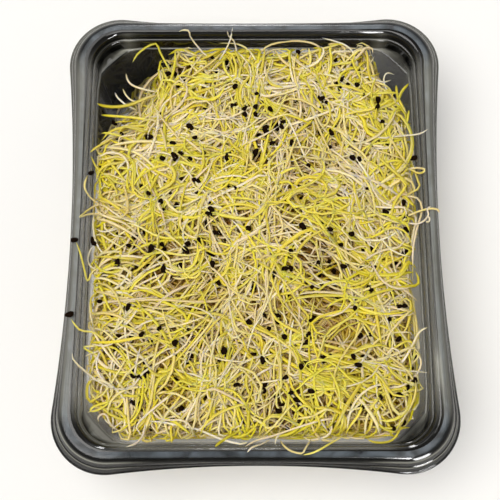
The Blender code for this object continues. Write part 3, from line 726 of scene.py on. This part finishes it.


# Single seedlings that stand out at the edge of the heap and over the rim, picked one by one in the photo:
# how yellow each is, its radius, and the pixels that it passes through, free end first
strays = {
    "far": (
        (0.8, 0.42, (132.5, 62.5), (137, 55), (145, 48), (155.7, 43.5), (160, 52), (165, 62), (172, 74)),
        (0.15, 0.33, (178.7, 31.7), (184, 30), (189, 31), (190, 36), (194, 42), (198, 47), (204, 54),
         (214, 61)),
        (0.04, 0.33, (232.5, 27.5), (231, 37), (228, 45), (222, 56), (214, 68)),
        (0.04, 0.33, (227, 31), (229, 36), (234, 41), (236, 48), (238, 58)),
        (0.3, 0.36, (218, 43), (228, 43), (237, 44), (246, 48), (253, 56), (258, 66)),
        (0.95, 0.62, (97, 103.5), (104, 106), (116, 107), (130, 105), (145, 99), (157, 95)),
        (0.9, 0.5, (101, 115), (112, 116), (126, 117), (143, 119), (155, 122)),
        (0.15, 0.4, (126, 73.7), (127.5, 80), (132, 85), (142, 89), (156, 92)),
        (0.04, 0.36, (115, 92.5), (118, 98), (126, 105), (136, 110)),
        (0.2, 0.36, (123, 88.7), (126, 95), (131, 100), (140, 103)),
        (0.75, 0.42, (90, 152.5), (97, 147), (108, 141), (122, 134)),
        (0.85, 0.46, (91, 156), (97, 168), (108, 178), (116, 190), (119, 204)),
        (0.35, 0.36, (88, 175), (85, 182), (85, 189), (91, 198), (101, 206)),
        (0.3, 0.4, (259, 54), (268, 46), (283, 42), (300, 41), (314, 44), (324, 51)),
    ),
    "left": (
        (0.6, 0.4, (76, 242), (80, 252), (84, 268), (86.5, 279), (89, 280), (92, 272), (100, 267),
         (112, 263)),
        (0.04, 0.36, (93, 246), (89.5, 252), (88, 260), (91.5, 267), (100, 269), (112, 267)),
        (0.15, 0.36, (94, 214), (93, 223), (93.5, 231), (95, 240), (100, 250), (108, 258)),
        (0.45, 0.4, (79, 217), (87, 211), (95, 206), (106, 203)),
        (0.3, 0.36, (79.5, 217.5), (88, 214.5), (98, 214), (112, 217)),
        (0.04, 0.34, (96, 229), (102, 231.5), (110, 231), (120, 228)),
        (0.55, 0.4, (71, 319), (75, 325), (81, 330.5), (92, 332), (100, 337), (107, 345), (114, 357),
         (126, 371)),
        (0.6, 0.4, (105, 288), (97, 292), (91, 299), (91, 308), (93, 314), (105, 313), (126, 308)),
        (0.15, 0.33, (92.6, 325), (91, 317), (90, 306), (92, 297), (99, 290)),
        (0.6, 0.38, (106, 357), (95, 354), (86, 349.5), (84.5, 347), (92, 346), (104, 345)),
        (0.15, 0.38, (85.6, 356), (91, 354), (98, 351), (108, 345)),
        (0.1, 0.42, (72, 353), (74, 361), (84, 370), (96, 380), (110, 387.5), (124, 389.5), (134, 385),
         (140, 377), (147, 369), (158, 366)),
        (0.2, 0.34, (91.6, 373), (93, 365), (98, 356), (106, 347)),
        (0.04, 0.4, (104, 345), (98, 356), (96.5, 366), (100, 376), (108, 384), (117, 391)),
        (0.85, 0.5, (90, 412), (92, 408), (99, 404.5), (111, 401.5), (128, 400)),
        (0.8, 0.42, (90.5, 412), (98, 410), (105, 406), (114, 398), (120, 390)),
        (0.15, 0.4, (99, 422), (98, 418), (102, 414), (107, 416), (110, 424), (118, 430)),
        (0.04, 0.4, (126, 447), (135, 444), (142, 437), (145, 427), (147, 414)),
    ),
    "right": (
        (0.04, 0.33, (322, 38), (334, 41), (345, 45), (352, 51), (356, 60), (358, 70)),
        (0.9, 0.5, (363, 56), (357, 59), (349, 63), (338, 64), (326, 68)),
        (0.85, 0.45, (366, 61), (361, 65), (356, 71), (351, 80)),
        (0.7, 0.4, (380, 73), (373, 76), (366, 74), (358, 72), (348, 76)),
        (0.04, 0.34, (394, 74.5), (388, 73), (384.5, 76), (384, 83), (388, 92), (396, 101), (402, 110)),
        (0.04, 0.34, (391, 80), (384, 82), (376, 80), (368, 77), (358, 80)),
        (0.98, 0.62, (409, 83.6), (405, 87.5), (401, 93), (398, 100), (391, 104.5), (380, 108), (368, 108)),
        (0.95, 0.55, (396, 85.5), (396.5, 91), (398, 98), (402, 106), (406, 114)),
        (0.95, 0.5, (409, 110), (408, 116), (407, 122), (404, 130)),
        (0.55, 0.52, (358, 108), (375, 110.5), (390, 111.5), (401, 116), (408, 127), (412, 140), (410, 154),
         (403, 166), (391, 178), (376, 186)),
        (0.9, 0.5, (398, 113), (406, 122), (411, 133), (413, 145), (410, 158), (402, 170), (392, 178)),
        (0.04, 0.32, (428, 129), (422, 133), (414, 135), (400, 136), (380, 138), (364, 131)),
        (0.5, 0.4, (402, 166), (410, 169.5), (418, 173), (423, 172.5), (424.5, 169.5), (419, 168),
         (410, 168.5), (400, 171)),
        (0.5, 0.42, (411, 160), (415, 172), (418, 181), (419.5, 187.5), (411, 193), (402, 199), (394, 207),
         (386, 219), (379, 232)),
        (0.2, 0.42, (400, 199), (408, 196), (417, 198), (421.5, 205), (421, 215), (417, 228), (414.5, 240),
         (412.5, 252), (413, 266)),
        (0.35, 0.4, (398, 219), (410, 215), (420, 211), (430, 208.5), (437, 209.5), (439.5, 212.5)),
        (0.04, 0.36, (431, 206), (427, 209), (428.5, 214), (425, 220), (417, 224), (407, 223), (398, 226)),
        (0.04, 0.34, (427, 216), (429.5, 218), (429, 221.5), (426, 222)),
        (0.98, 0.6, (414, 206), (410, 202), (405, 197.5), (398, 193)),
        (0.3, 0.38, (412, 240), (407, 243.5), (403, 243), (400, 238), (394, 232)),
        (0.15, 0.45, (427.5, 327.5), (421, 330.5), (416, 337), (411, 348), (405, 358), (397, 368)),
        (0.9, 0.5, (415, 308.7), (408, 313), (399, 319), (388, 324)),
        (0.15, 0.42, (413, 314), (405, 315.5), (394, 315), (382, 318)),
        (0.85, 0.45, (415, 348), (409, 341), (399, 345), (388, 352)),
        (0.55, 0.38, (415, 348), (414, 354), (412.5, 360), (416, 353), (418, 357), (410, 366)),
        (0.04, 0.34, (427.5, 372.5), (416, 371.5), (402, 370.5), (386, 366), (372, 362)),
        (0.15, 0.42, (412, 352), (419, 356), (421, 364), (417, 374), (409, 382), (398, 387), (384, 388)),
    ),
    "near": (
        (0.15, 0.42, (245, 446.5), (255, 441), (272, 436), (290, 430), (305, 425), (322, 420), (342, 417)),
        (0.95, 0.58, (215, 446.5), (221, 442), (230, 436), (241, 430)),
        (0.3, 0.38, (280, 440), (284, 446), (291, 451), (302, 453.5), (306, 447), (311, 440)),
        (0.55, 0.4, (303, 455), (312, 453), (321, 449), (331, 443), (342, 437)),
        (0.04, 0.34, (247, 452.5), (252, 447.5), (261, 444), (270, 440)),
        (0.04, 0.34, (275, 445), (276.5, 438), (282, 433), (290, 430)),
        (0.85, 0.4, (410, 427.5), (398, 428), (384, 428), (368, 426)),
        (0.6, 0.5, (411, 389.5), (400, 389), (389, 391.5), (378, 399), (370, 410), (366, 422), (365, 434)),
        (0.85, 0.42, (411, 390), (409, 400), (406, 411), (401, 424), (392, 434)),
        (0.04, 0.42, (145, 421), (160, 422), (177, 425), (200, 430), (220, 439), (240, 444), (248, 442)),
        (0.9, 0.5, (172, 443), (171.5, 436), (171, 429), (174, 420)),
        (0.85, 0.45, (367, 439), (374, 442), (384, 442.5), (392, 440), (398, 433), (401, 424)),
    ),
}


def onSight(pixels, z):
    # where the camera's lines of sight through these pixels come down to the height z
    tilt = math.radians(studio["tilt"])
    look = np.array((0, math.sin(tilt), -math.cos(tilt)))
    up = np.array((0, math.cos(tilt), math.sin(tilt)))
    turn = turnAbout(2, np.radians([-studio["yaw"]]))[0]
    eye = turn @ (np.array(studio["target"]) - look * studio["distance"])
    across, down = (pixels - studio["pixels"] / 2).T[:, :, None]
    line = (look * studio["focal"] + across * (1, 0, 0) - down * up) @ turn.T
    return eye + ((z - eye[2]) / line[:, 2])[:, None] * line


def outside(x, y):
    # how far a place lies outside the sealing band's inner edge, with its round corners left square
    half = traySizes["sealHalfWidth"]
    return np.maximum(np.abs(x) - half, np.abs(y) - half - traySizes["endExtra"])


def filmTop(x, y):
    # the height of the film's inner face from the wall to the sealing band, round the corners too
    half = traySizes["sealHalfWidth"]
    corner = traySizes["sealCorner"]
    overX = np.maximum(0.0, np.abs(x) - half + corner)
    overY = np.maximum(0.0, np.abs(y) - half - traySizes["endExtra"] + corner)
    gap = np.where((overX > 0) & (overY > 0), np.hypot(overX, overY) - corner, outside(x, y))
    return np.interp(gap, *traySizes["innerFace"])


def layDown(pixels, radius):
    # down each line of sight to the heap or the film, whichever comes first, to a tenth of a millimetre
    z = np.full(len(pixels), 40.0)
    for _ in range(12):
        place = onSight(pixels, z)
        x, y = place[:, 0], place[:, 1]
        rest = np.maximum(domeTop(x, y) + 0.5, filmTop(x, y) + radius + 0.25)
        z = z + 0.6 * (rest - z)
    return np.round(onSight(pixels, z), 1)


def strayPoints(pixels, radius):
    # ends over the heap dive into it, and what bridges a gap sags by 0.35 mm from point to point
    points = layDown(pixels, radius)
    z = points[:, 2]
    gap = outside(points[:, 0], points[:, 1])
    z[-1] -= 2.6 * (gap[-1] < -6)
    z[0] -= 1.5 * (gap[0] < -7)
    z = np.round(z, 1)
    for _ in range(4):
        for i in range(1, len(z) - 1):
            z[i] = max(z[i], (z[i - 1] + z[i + 1]) / 2 - 0.35)
    places = np.column_stack([onSight(pixels, z)[:, :2], z])
    return np.array([[round(value, 1) for value in place] for place in places.tolist()])


def strayPaths():
    # a Catmull-Rom curve through the points, taken at even steps of their numbering, root first
    paths = []
    rows = [row for side in strays.values() for row in side]
    for _, radius, *pixels in rows:
        points = strayPoints(np.array(pixels, float), radius)[::-1]
        ends = np.concatenate([[2 * points[0] - points[1]], points, [2 * points[-1] - points[-2]]])
        place = steps[0] * (len(points) - 1)
        k = np.minimum(place.astype(int), len(points) - 2)
        t = (place - k)[:, None]
        p0, p1, p2, p3 = ends[k], ends[k + 1], ends[k + 2], ends[k + 3]
        curve = 2 * p1 + (p2 - p0) * t + (2 * p0 - 5 * p1 + 4 * p2 - p3) * t**2
        paths.append((curve + (3 * (p1 - p2) + p3 - p0) * t**3) / 2)
    ripe, radius = np.array([row[:2] for row in rows]).T
    return np.array(paths), ripe, radius


def tubes(paths, radii, flatness, rng):
    # a ring of points round every path point, in the plane of two vectors square to the path;
    # the rings of one path are joined by quads, and its radii draw both ends in almost to a point
    n, count = paths.shape[:2]
    sides = seedlings["sides"]
    tangent = np.gradient(paths, axis=1)
    tangent /= np.linalg.norm(tangent, axis=2, keepdims=True) + 1e-9
    lean = np.stack([rng.normal(0, 0.12, n), rng.normal(0, 0.12, n), np.ones(n)], axis=1)[:, None, :]
    side = np.cross(tangent, lean)
    side /= np.linalg.norm(side, axis=2, keepdims=True) + 1e-9
    up = np.cross(side, tangent)
    angle = 2 * np.pi * np.arange(sides) / sides + np.pi / 4
    ring = side[:, :, None, :] * np.cos(angle)[None, None, :, None]
    ring = ring + up[:, :, None, :] * np.sin(angle)[None, None, :, None] * flatness[:, None, None, None]
    points = paths[:, :, None, :] + ring * radii[:, :, None, None]
    faces = ringFaces(count, sides) + (np.arange(n) * count * sides)[:, None, None]
    return points.reshape(-1, 3), faces.reshape(-1, 4)


def seedlingRadii(rng, n, yellow):
    # thin at the root and thicker in the shoot, with a smooth change between them
    root = rng.uniform(*seedlings["rootRadius"], (n, 1))
    stout = np.where(rng.random(n) < 0.1, 1.25, 1.0) * np.where(yellow, 1.05, 0.9)
    shoot = rng.uniform(*seedlings["shootRadius"], (n, 1)) * stout[:, None]
    return root + (shoot - root) * smooth((steps - 0.15) / 0.5)


def closeEnds(radius):
    # square-root caps: the tip narrows over the last fifth and the root over the first sixteenth
    radius = radius * (0.1 + 0.9 * np.sqrt(np.clip((1 - steps) / 0.2, 0, 1)))
    return radius * (0.3 + 0.7 * np.sqrt(np.clip(steps / 0.06, 0, 1)))


def coverOver(paths):
    # how deep each point lies below the nearest face of the heap: its top, or the clear walls and floor,
    # which let in more light than the tangle does
    x, y, z = paths[..., 0], paths[..., 1], paths[..., 2]
    half = cavityHalfWidth(z)
    walls = np.minimum(half - np.abs(x), half + traySizes["endExtra"] - np.abs(y))
    return np.minimum(heapTop(x, y) - z, 0.6 * np.minimum(walls, z - 2.5))


def makeSeedlings(material):
    rng = np.random.default_rng(seedlings["seed"])
    groups = [topPaths(rng), fringePaths(rng), wallPaths(rng), floorPaths(rng)]
    paths = np.concatenate([group[0] for group in groups])
    yellow = np.concatenate([group[1] for group in groups])
    n = len(paths)
    few, most = seedlings["yellowShare"]
    yellow = rng.random(n) < np.where(yellow < seedlings["yellowBelow"], most, few)
    radii = seedlingRadii(rng, n, yellow)
    ripe = np.where(yellow, rng.uniform(*seedlings["yellowTone"], n), rng.uniform(*seedlings["paleTone"], n))
    strayCourse, strayRipe, strayRadius = strayPaths()
    paths = np.concatenate([paths, strayCourse])
    ripe = np.concatenate([ripe, strayRipe])
    yellow = np.concatenate([yellow, ripe[n:] > 0.5])
    radii = closeEnds(np.concatenate([radii, strayRadius[:, None] + 0 * radii[:1]]))
    n = len(paths)
    tone = ripe[:, None] * (0.3 + 0.7 * smooth((steps + rng.uniform(-0.1, 0.25, (n, 1))) / 0.6))
    # painted shade: seedlings deep in the hollows are darkened to nearly black, those on the left most
    x, y, z = paths[..., 0], paths[..., 1], paths[..., 2]
    hollowShade = smooth((levelTop(x, y) - heapTop(x, y)) / 10 - 0.3) * smooth((levelTop(x, y) - z - 8) / 10)
    shade = rng.uniform(*seedlings["shade"], (n, 1)) * (1 - np.where(x < 0, 0.75, 0.45) * hollowShade)
    depth = smooth((coverOver(paths) - 0.5) / 4.3)
    green = rng.uniform(-1, 1, (n, 1)) + 0 * steps
    looks = {"tone": tone, "shade": shade, "depth": depth, "green": green}
    middle = paths[:, seedlings["sections"] // 2]
    column = (middle[:, 0] > 0).astype(int)
    row = np.clip(((middle[:, 1] / heapSizes["halfLength"] + 1) * 1.5).astype(int), 0, 2)
    handful = row * 2 + column
    for k in range(6):
        for isYellow, name in ((False, "sprouts"), (True, "yellow_shoots")):
            mine = (handful == k) & (yellow == isYellow)
            flat = rng.uniform(0.75, 1.0, mine.sum())
            points, faces = tubes(paths[mine], radii[mine], flat, rng)
            values = {key: np.repeat(look[mine].ravel(), seedlings["sides"]) for key, look in looks.items()}
            piece = meshFromGrid(f"{name}_strands_{k + 1}", points, faces, material, values)
            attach(piece, "root")
            if isYellow:
                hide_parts(f"yellow_shoots_{2 * k + 1}", f"yellow_shoots_{2 * k + 2}")
            else:
                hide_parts(f"sprouts_{k + 1}")
    print("seedlings", n)
    return paths


# Leek seedling tissue, grown in the dark: white root, cream stem and yellow seed leaf.
# It is moist and lets light in, so it has a soft sheen and glows a little where it is thin.
tissueLook = {
    "tones": ((0.0, "#f5e6d4"), (0.15, "#f1deba"), (0.3, "#ebd796"), (0.6, "#e5d44c"), (1.0, "#e1d018")),
    "deep": "#a57f14",  # what the tangle above does to the light that reaches deeper seedlings
    "greener": "#fbfff4",
    "redder": "#fff9f0",
    "roughness": 0.45,
    "scatter": 0.7,
    "scatterReach": 0.8,
    "scatterColour": (1.0, 0.9, 0.4),
    "streakSize": 3.0,
}


def makeTissue():
    material, shader, node = newMaterial("leek seedling tissue")
    names = ("tone", "shade", "depth", "green")
    tone, shade, depth, green = [node("Attribute", attribute_name=name) for name in names]
    here = {"Vector": (node("TexCoord"), "Object")}
    ripe = node("ValToRGB", {"Fac": (tone, "Fac")}, tissueLook["tones"])
    streak = node("TexNoise", {"Scale": 1 / (tissueLook["streakSize"] * mm), "Detail": 2.0, **here})
    light = node("MapRange", {"Value": (streak, "Fac"), "To Min": 0.9, "To Max": 1.1})
    both = node("Math", {0: (shade, "Fac"), 1: (light, "Result")}, operation="MULTIPLY")
    # light that has come through other seedlings is dimmer and more golden
    gold = node("ValToRGB", {"Fac": (depth, "Fac")}, ((0.0, "#ffffff"), (1.0, tissueLook["deep"])))
    half = node("MapRange", {"Value": (green, "Fac"), "From Min": -1.0, "From Max": 1.0})
    turns = ((0.0, tissueLook["redder"]), (1.0, tissueLook["greener"]))
    hue = node("ValToRGB", {"Fac": (half, "Result")}, turns)
    tinted = node("VectorMath", {0: (ripe, "Color"), 1: (gold, "Color")}, operation="MULTIPLY")
    turned = node("VectorMath", {0: (tinted, "Vector"), 1: (hue, "Color")}, operation="MULTIPLY")
    colour = node("VectorMath", {"Vector": (turned, "Vector"), "Scale": (both, "Value")}, operation="SCALE")
    setSockets(shader, {
        "Base Color": (colour, "Vector"),
        "Roughness": tissueLook["roughness"],
        "Subsurface Weight": tissueLook["scatter"],
        "Subsurface Radius": tissueLook["scatterColour"],
        "Subsurface Scale": tissueLook["scatterReach"] * mm,
    })
    return material


# Seed coats: matt black, wrinkled, domed on one side and nearly flat on the other
seedCoats = {
    "seed": 19,
    "onTips": 170,
    "loose": 330,
    "pairs": 70,  # of the loose ones, how many lie against another
    "length": (2.1, 3.2),
    "around": 8,
    "rows": 7,
    # the ones that hang outside the heap on single seedlings
    "outside": (
        (-58.4, -4.7, 43.5), (-53.7, -3.2, 38.7), (-52.4, -4.9, 39.4), (-59.0, -29.2, 43.5),
        (-54.6, 19.8, 39.9), (-50.0, -24.2, 38.8), (53.3, 25.2, 39.4), (49.5, -0.5, 40.1),
        (49.7, -49.9, 38.1),
    ),
}


def turnAbout(axis, angle):
    # one rotation matrix for each angle, about the axis with that number
    a, b = [k for k in range(3) if k != axis]
    turn = np.zeros((len(angle), 3, 3))
    turn[:, axis, axis] = 1
    turn[:, a, a] = turn[:, b, b] = np.cos(angle)
    turn[:, a, b] = -np.sin(angle)
    turn[:, b, a] = np.sin(angle)
    return turn


def seedShapes(rng, centres):
    # a sphere grid drawn out to length:width:thickness 1:0.86:0.6, tapered by 1-x/5 towards one end,
    # flat on one long side, with shallow wrinkles sin(5x)sin(6y), and turned at random
    n = len(centres)
    rows = seedCoats["rows"]
    around = seedCoats["around"]
    a = np.linspace(0, np.pi, rows)[:, None]
    b = 2 * np.pi * np.arange(around)[None, :] / around
    ball = np.stack([np.cos(a) + 0 * b, np.sin(a) * np.cos(b), np.sin(a) * np.sin(b)], axis=-1)
    ball = np.repeat(ball.reshape(1, -1, 3), n, axis=0)
    wrinkle = 1 + 0.06 * np.sin(5 * ball[..., 0] + rng.random((n, 1)) * 6) * np.sin(
        6 * ball[..., 1] + rng.random((n, 1)) * 6
    )
    ball = ball * wrinkle[..., None]
    ball[..., 1:] *= 1 - 0.2 * ball[..., :1]
    ball[..., 1] = np.where(ball[..., 1] < 0, ball[..., 1] * rng.uniform(0.25, 0.6, (n, 1)), ball[..., 1])
    half = rng.uniform(*seedCoats["length"], (n, 1)) / 2
    ball = ball * half[:, :, None] * np.array([1.0, 0.86, 0.6])
    turn = turnAbout(2, rng.uniform(0, 2 * np.pi, n)) @ turnAbout(1, rng.normal(0, 0.7, n))
    turn = turn @ turnAbout(0, rng.normal(0, 0.7, n))
    points = np.einsum("nij,nkj->nki", turn, ball) + centres[:, None, :]
    faces = ringFaces(rows, around)[:, [0, 3, 2, 1]] + (np.arange(n) * rows * around)[:, None, None]
    return points.reshape(-1, 3), faces.reshape(-1, 4)


def makeSeedCoats(paths, material):
    rng = np.random.default_rng(seedCoats["seed"])
    # on the tips of seedlings near the top, and loose on the heap, some against another
    tips = paths[: seedlings["bunches"] * seedlings["perBunch"], -1]
    shown = np.nonzero(heapTop(tips[:, 0], tips[:, 1]) - tips[:, 2] < 2.5)[0]
    onTips = tips[rng.choice(shown, min(seedCoats["onTips"], len(shown)), replace=False)]
    n = seedCoats["loose"]
    x = rng.uniform(-1, 1, n) * seedlings["spread"][0]
    y = rng.uniform(-1, 1, n) * seedlings["spread"][1]
    z = heapTop(x, y) - rng.uniform(-0.3, 4.5, n)
    pairs = seedCoats["pairs"]
    x[:pairs] = x[pairs:2 * pairs] + rng.uniform(-2.6, 2.6, pairs)
    y[:pairs] = y[pairs:2 * pairs] + rng.uniform(-2.6, 2.6, pairs)
    z[:pairs] = z[pairs:2 * pairs]
    centres = np.concatenate([onTips, np.stack([x, y, z], axis=1)])
    centres[:, 2] = np.minimum(centres[:, 2], roof - 1.6)
    centres[:, 0], centres[:, 1] = holdInTray(centres[:, 0], centres[:, 1], centres[:, 2], 1.8)
    centres = np.concatenate([centres, np.array(seedCoats["outside"])])
    points, faces = seedShapes(rng, centres)
    piece = meshFromGrid("seed_coats", points, faces, material)
    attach(piece, "root")
    print("seed coats", len(centres))


# Dried seed coat: matt black skin with fine wrinkles that catch a little light.
coatLook = {
    "tones": ((0.3, "#0c0500"), (0.8, "#201004")),
    "wrinkleSize": 0.6,
    "roughness": 0.75,
    "shine": 0.03,
}


def makeCoat():
    material, shader, node = newMaterial("dried black seed coat")
    here = {"Vector": (node("TexCoord"), "Object")}
    grain = node("TexNoise", {"Scale": 1 / (coatLook["wrinkleSize"] * mm), "Detail": 3.0, **here})
    ramp = node("ValToRGB", {"Fac": (grain, "Fac")}, coatLook["tones"])
    bump = node("Bump", {"Strength": 0.7, "Distance": 0.0002, "Height": (grain, "Fac")})
    setSockets(shader, {
        "Base Color": (ramp, "Color"),
        "Normal": (bump, "Normal"),
        "Roughness": coatLook["roughness"],
        "Specular IOR Level": coatLook["shine"],
    })
    return material


# The shaded inside of the heap, under the seedlings that are modelled one by one
heapCore = {
    "cover": 8.5,
    "halfWidth": 46.0,
    "squareness": 5,
    "foot": 6.0,
    "footInset": 3.0,
    "edgeFall": 3.0,
    "rows": 14,
    "around": 96,
    "tones": ((0.35, "#1c1604"), (0.6, "#6a5a14")),
    "tangleSize": 2.2,
    "roughness": 0.8,
}


def makeCore(material):
    # a lump with the plan |x/a|^5 + |y/b|^5 = 1 and a top that follows the heap's own; both ends
    # are open by a pinhole in the middle, which nothing shows
    around = heapCore["around"]
    angle = 2 * np.pi * np.arange(around) / around
    halfX = heapCore["halfWidth"]
    halfY = halfX + traySizes["endExtra"]
    power = 2 / heapCore["squareness"]
    unitX = np.sign(np.cos(angle)) * np.abs(np.cos(angle)) ** power
    unitY = np.sign(np.sin(angle)) * np.abs(np.sin(angle)) ** power
    rings = []
    pinhole = 0.02
    for share in np.linspace(pinhole, 1, heapCore["rows"]):
        x = unitX * halfX * share
        y = unitY * halfY * share
        z = heapTop(x, y) - heapCore["cover"] - heapCore["edgeFall"] * smooth((share - 0.8) / 0.2)
        rings.append(np.stack([x, y, z], axis=1))
    footX = unitX * (halfX - heapCore["footInset"])
    footY = unitY * (halfY - heapCore["footInset"])
    for share in (1, 0.5, pinhole):
        rings.append(np.stack([footX * share, footY * share, np.full(around, heapCore["foot"])], axis=1))
    points = np.concatenate(rings)
    piece = meshFromGrid("heap_inside", points, ringFaces(len(rings), around)[:, [0, 3, 2, 1]], material)
    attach(piece, "root")


def makeShadedTissue():
    # damp seedlings deep in the heap: the same tissue in deep shade, streaked by what lies over it
    material, shader, node = newMaterial("shaded leek seedlings")
    here = {"Vector": (node("TexCoord"), "Object")}
    size = heapCore["tangleSize"] * mm
    tangle = node("TexNoise", {"Scale": 1 / size, "Detail": 4.0, "Distortion": 2.0, **here})
    ramp = node("ValToRGB", {"Fac": (tangle, "Fac")}, heapCore["tones"])
    setSockets(shader, {"Base Color": (ramp, "Color"), "Roughness": heapCore["roughness"]})
    return material


# Floor, light and camera
studio = {
    "floor": "#f4f3f1",
    "floorReach": 12000.0,
    # the room's brightness by the sine of the height above the horizon
    "room": ((0.0, 1.05), (0.12, 0.85), (0.45, 0.3), (1.0, 0.17)),
    "keyFrom": (-170, -90, 640),
    "keyStrength": 2.8,
    "keyAngle": 50.0,
    "keyColour": (1, 0.985, 0.96),
    "lampTarget": (0, 0, 40),
    # softboxes that show as highlights in the film: place, size and power
    "boxes": (
        ("far strip", (-12, 560, 300), (90, 420), 2.3),
        ("far panel", (-60, 305, 474), (300, 130), 0.3),
        ("near panel", (260, -420, 260), (160, 160), 2.0),
        ("near strip", (150, -465, 460), (70, 160), 1.4),
    ),
    "pixels": 500,  # the photo's width and height
    "focal": 1000.0,  # in pixels
    "tilt": 16.66,  # degrees from straight down
    "distance": 325.9,
    "target": (-1.64, -7.22, 40.0),
    "yaw": 0.14,
}


def addLamp(name, kind, energy, place, target, **settings):
    data = bpy.data.lights.new(name, kind)
    data.energy = energy
    for key, value in settings.items():
        setattr(data, key, value)
    lamp = bpy.data.objects.new(name, data)
    bpy.context.scene.collection.objects.link(lamp)
    lamp.location = Vector(place) * mm
    lamp.rotation_euler = (Vector(target) - Vector(place)).to_track_quat("-Z", "Y").to_euler()
    return lamp


def makeStudio():
    paper, shader, _ = newMaterial("matt white paper")
    setSockets(shader, {"Base Color": linear(studio["floor"]), "Roughness": 0.9, "Specular IOR Level": 0.1})
    corners = np.array([(-1, -1, 0), (1, -1, 0), (1, 1, 0), (-1, 1, 0)]) * studio["floorReach"]
    floor = meshFromGrid("floor", corners, np.array([[0, 1, 2, 3]]), paper)
    world = bpy.data.worlds.new("soft room")
    bpy.context.scene.world = world
    world.use_nodes = True
    place = addNode(world, "TexCoord")
    height = addNode(world, "SeparateXYZ", {"Vector": (place, "Generated")})
    stops = [(sine, "#ffffff") for sine, _ in studio["room"]]
    ramp = addNode(world, "ValToRGB", {"Fac": (height, "Z")}, stops)
    for stop, (_, level) in zip(ramp.color_ramp.elements, studio["room"]):
        stop.color = (level, level, level, 1)
    setSockets(world.node_tree.nodes["Background"], {"Color": (ramp, "Color")})
    bpy.context.scene.view_settings.view_transform = "Standard"  # plain sRGB, so colours come out as given
    addLamp(
        "key", "SUN", studio["keyStrength"], studio["keyFrom"], (0, 0, 0),
        angle=math.radians(studio["keyAngle"]), color=studio["keyColour"],
    )
    for name, place, (width, height), power in studio["boxes"]:
        size = {"shape": "RECTANGLE", "size": width * mm, "size_y": height * mm}
        box = addLamp(name, "AREA", power, place, studio["lampTarget"], **size)
        box.visible_diffuse = False


def makeCamera():
    tilt = math.radians(studio["tilt"])
    look = Vector((0, math.sin(tilt), -math.cos(tilt)))
    data = bpy.data.cameras.new("camera")
    data.sensor_width = 36
    data.lens = studio["focal"] * data.sensor_width / studio["pixels"]
    data.clip_start = 0.01
    camera = bpy.data.objects.new("camera", data)
    bpy.context.scene.collection.objects.link(camera)
    eye = Vector(studio["target"]) - look * studio["distance"]
    turn = Matrix.Rotation(math.radians(-studio["yaw"]), 4, "Z")
    camera.matrix_world = turn @ Matrix.Translation(eye * mm) @ Matrix.Rotation(tilt, 4, "X")
    bpy.context.scene.camera = camera


makeStudio()
makeCamera()
print("studio done")
makeTray(makeFilm())
print("tray done")
makeSeedCoats(makeSeedlings(makeTissue()), makeCoat())
makeCore(makeShadedTissue())
print("heap done")
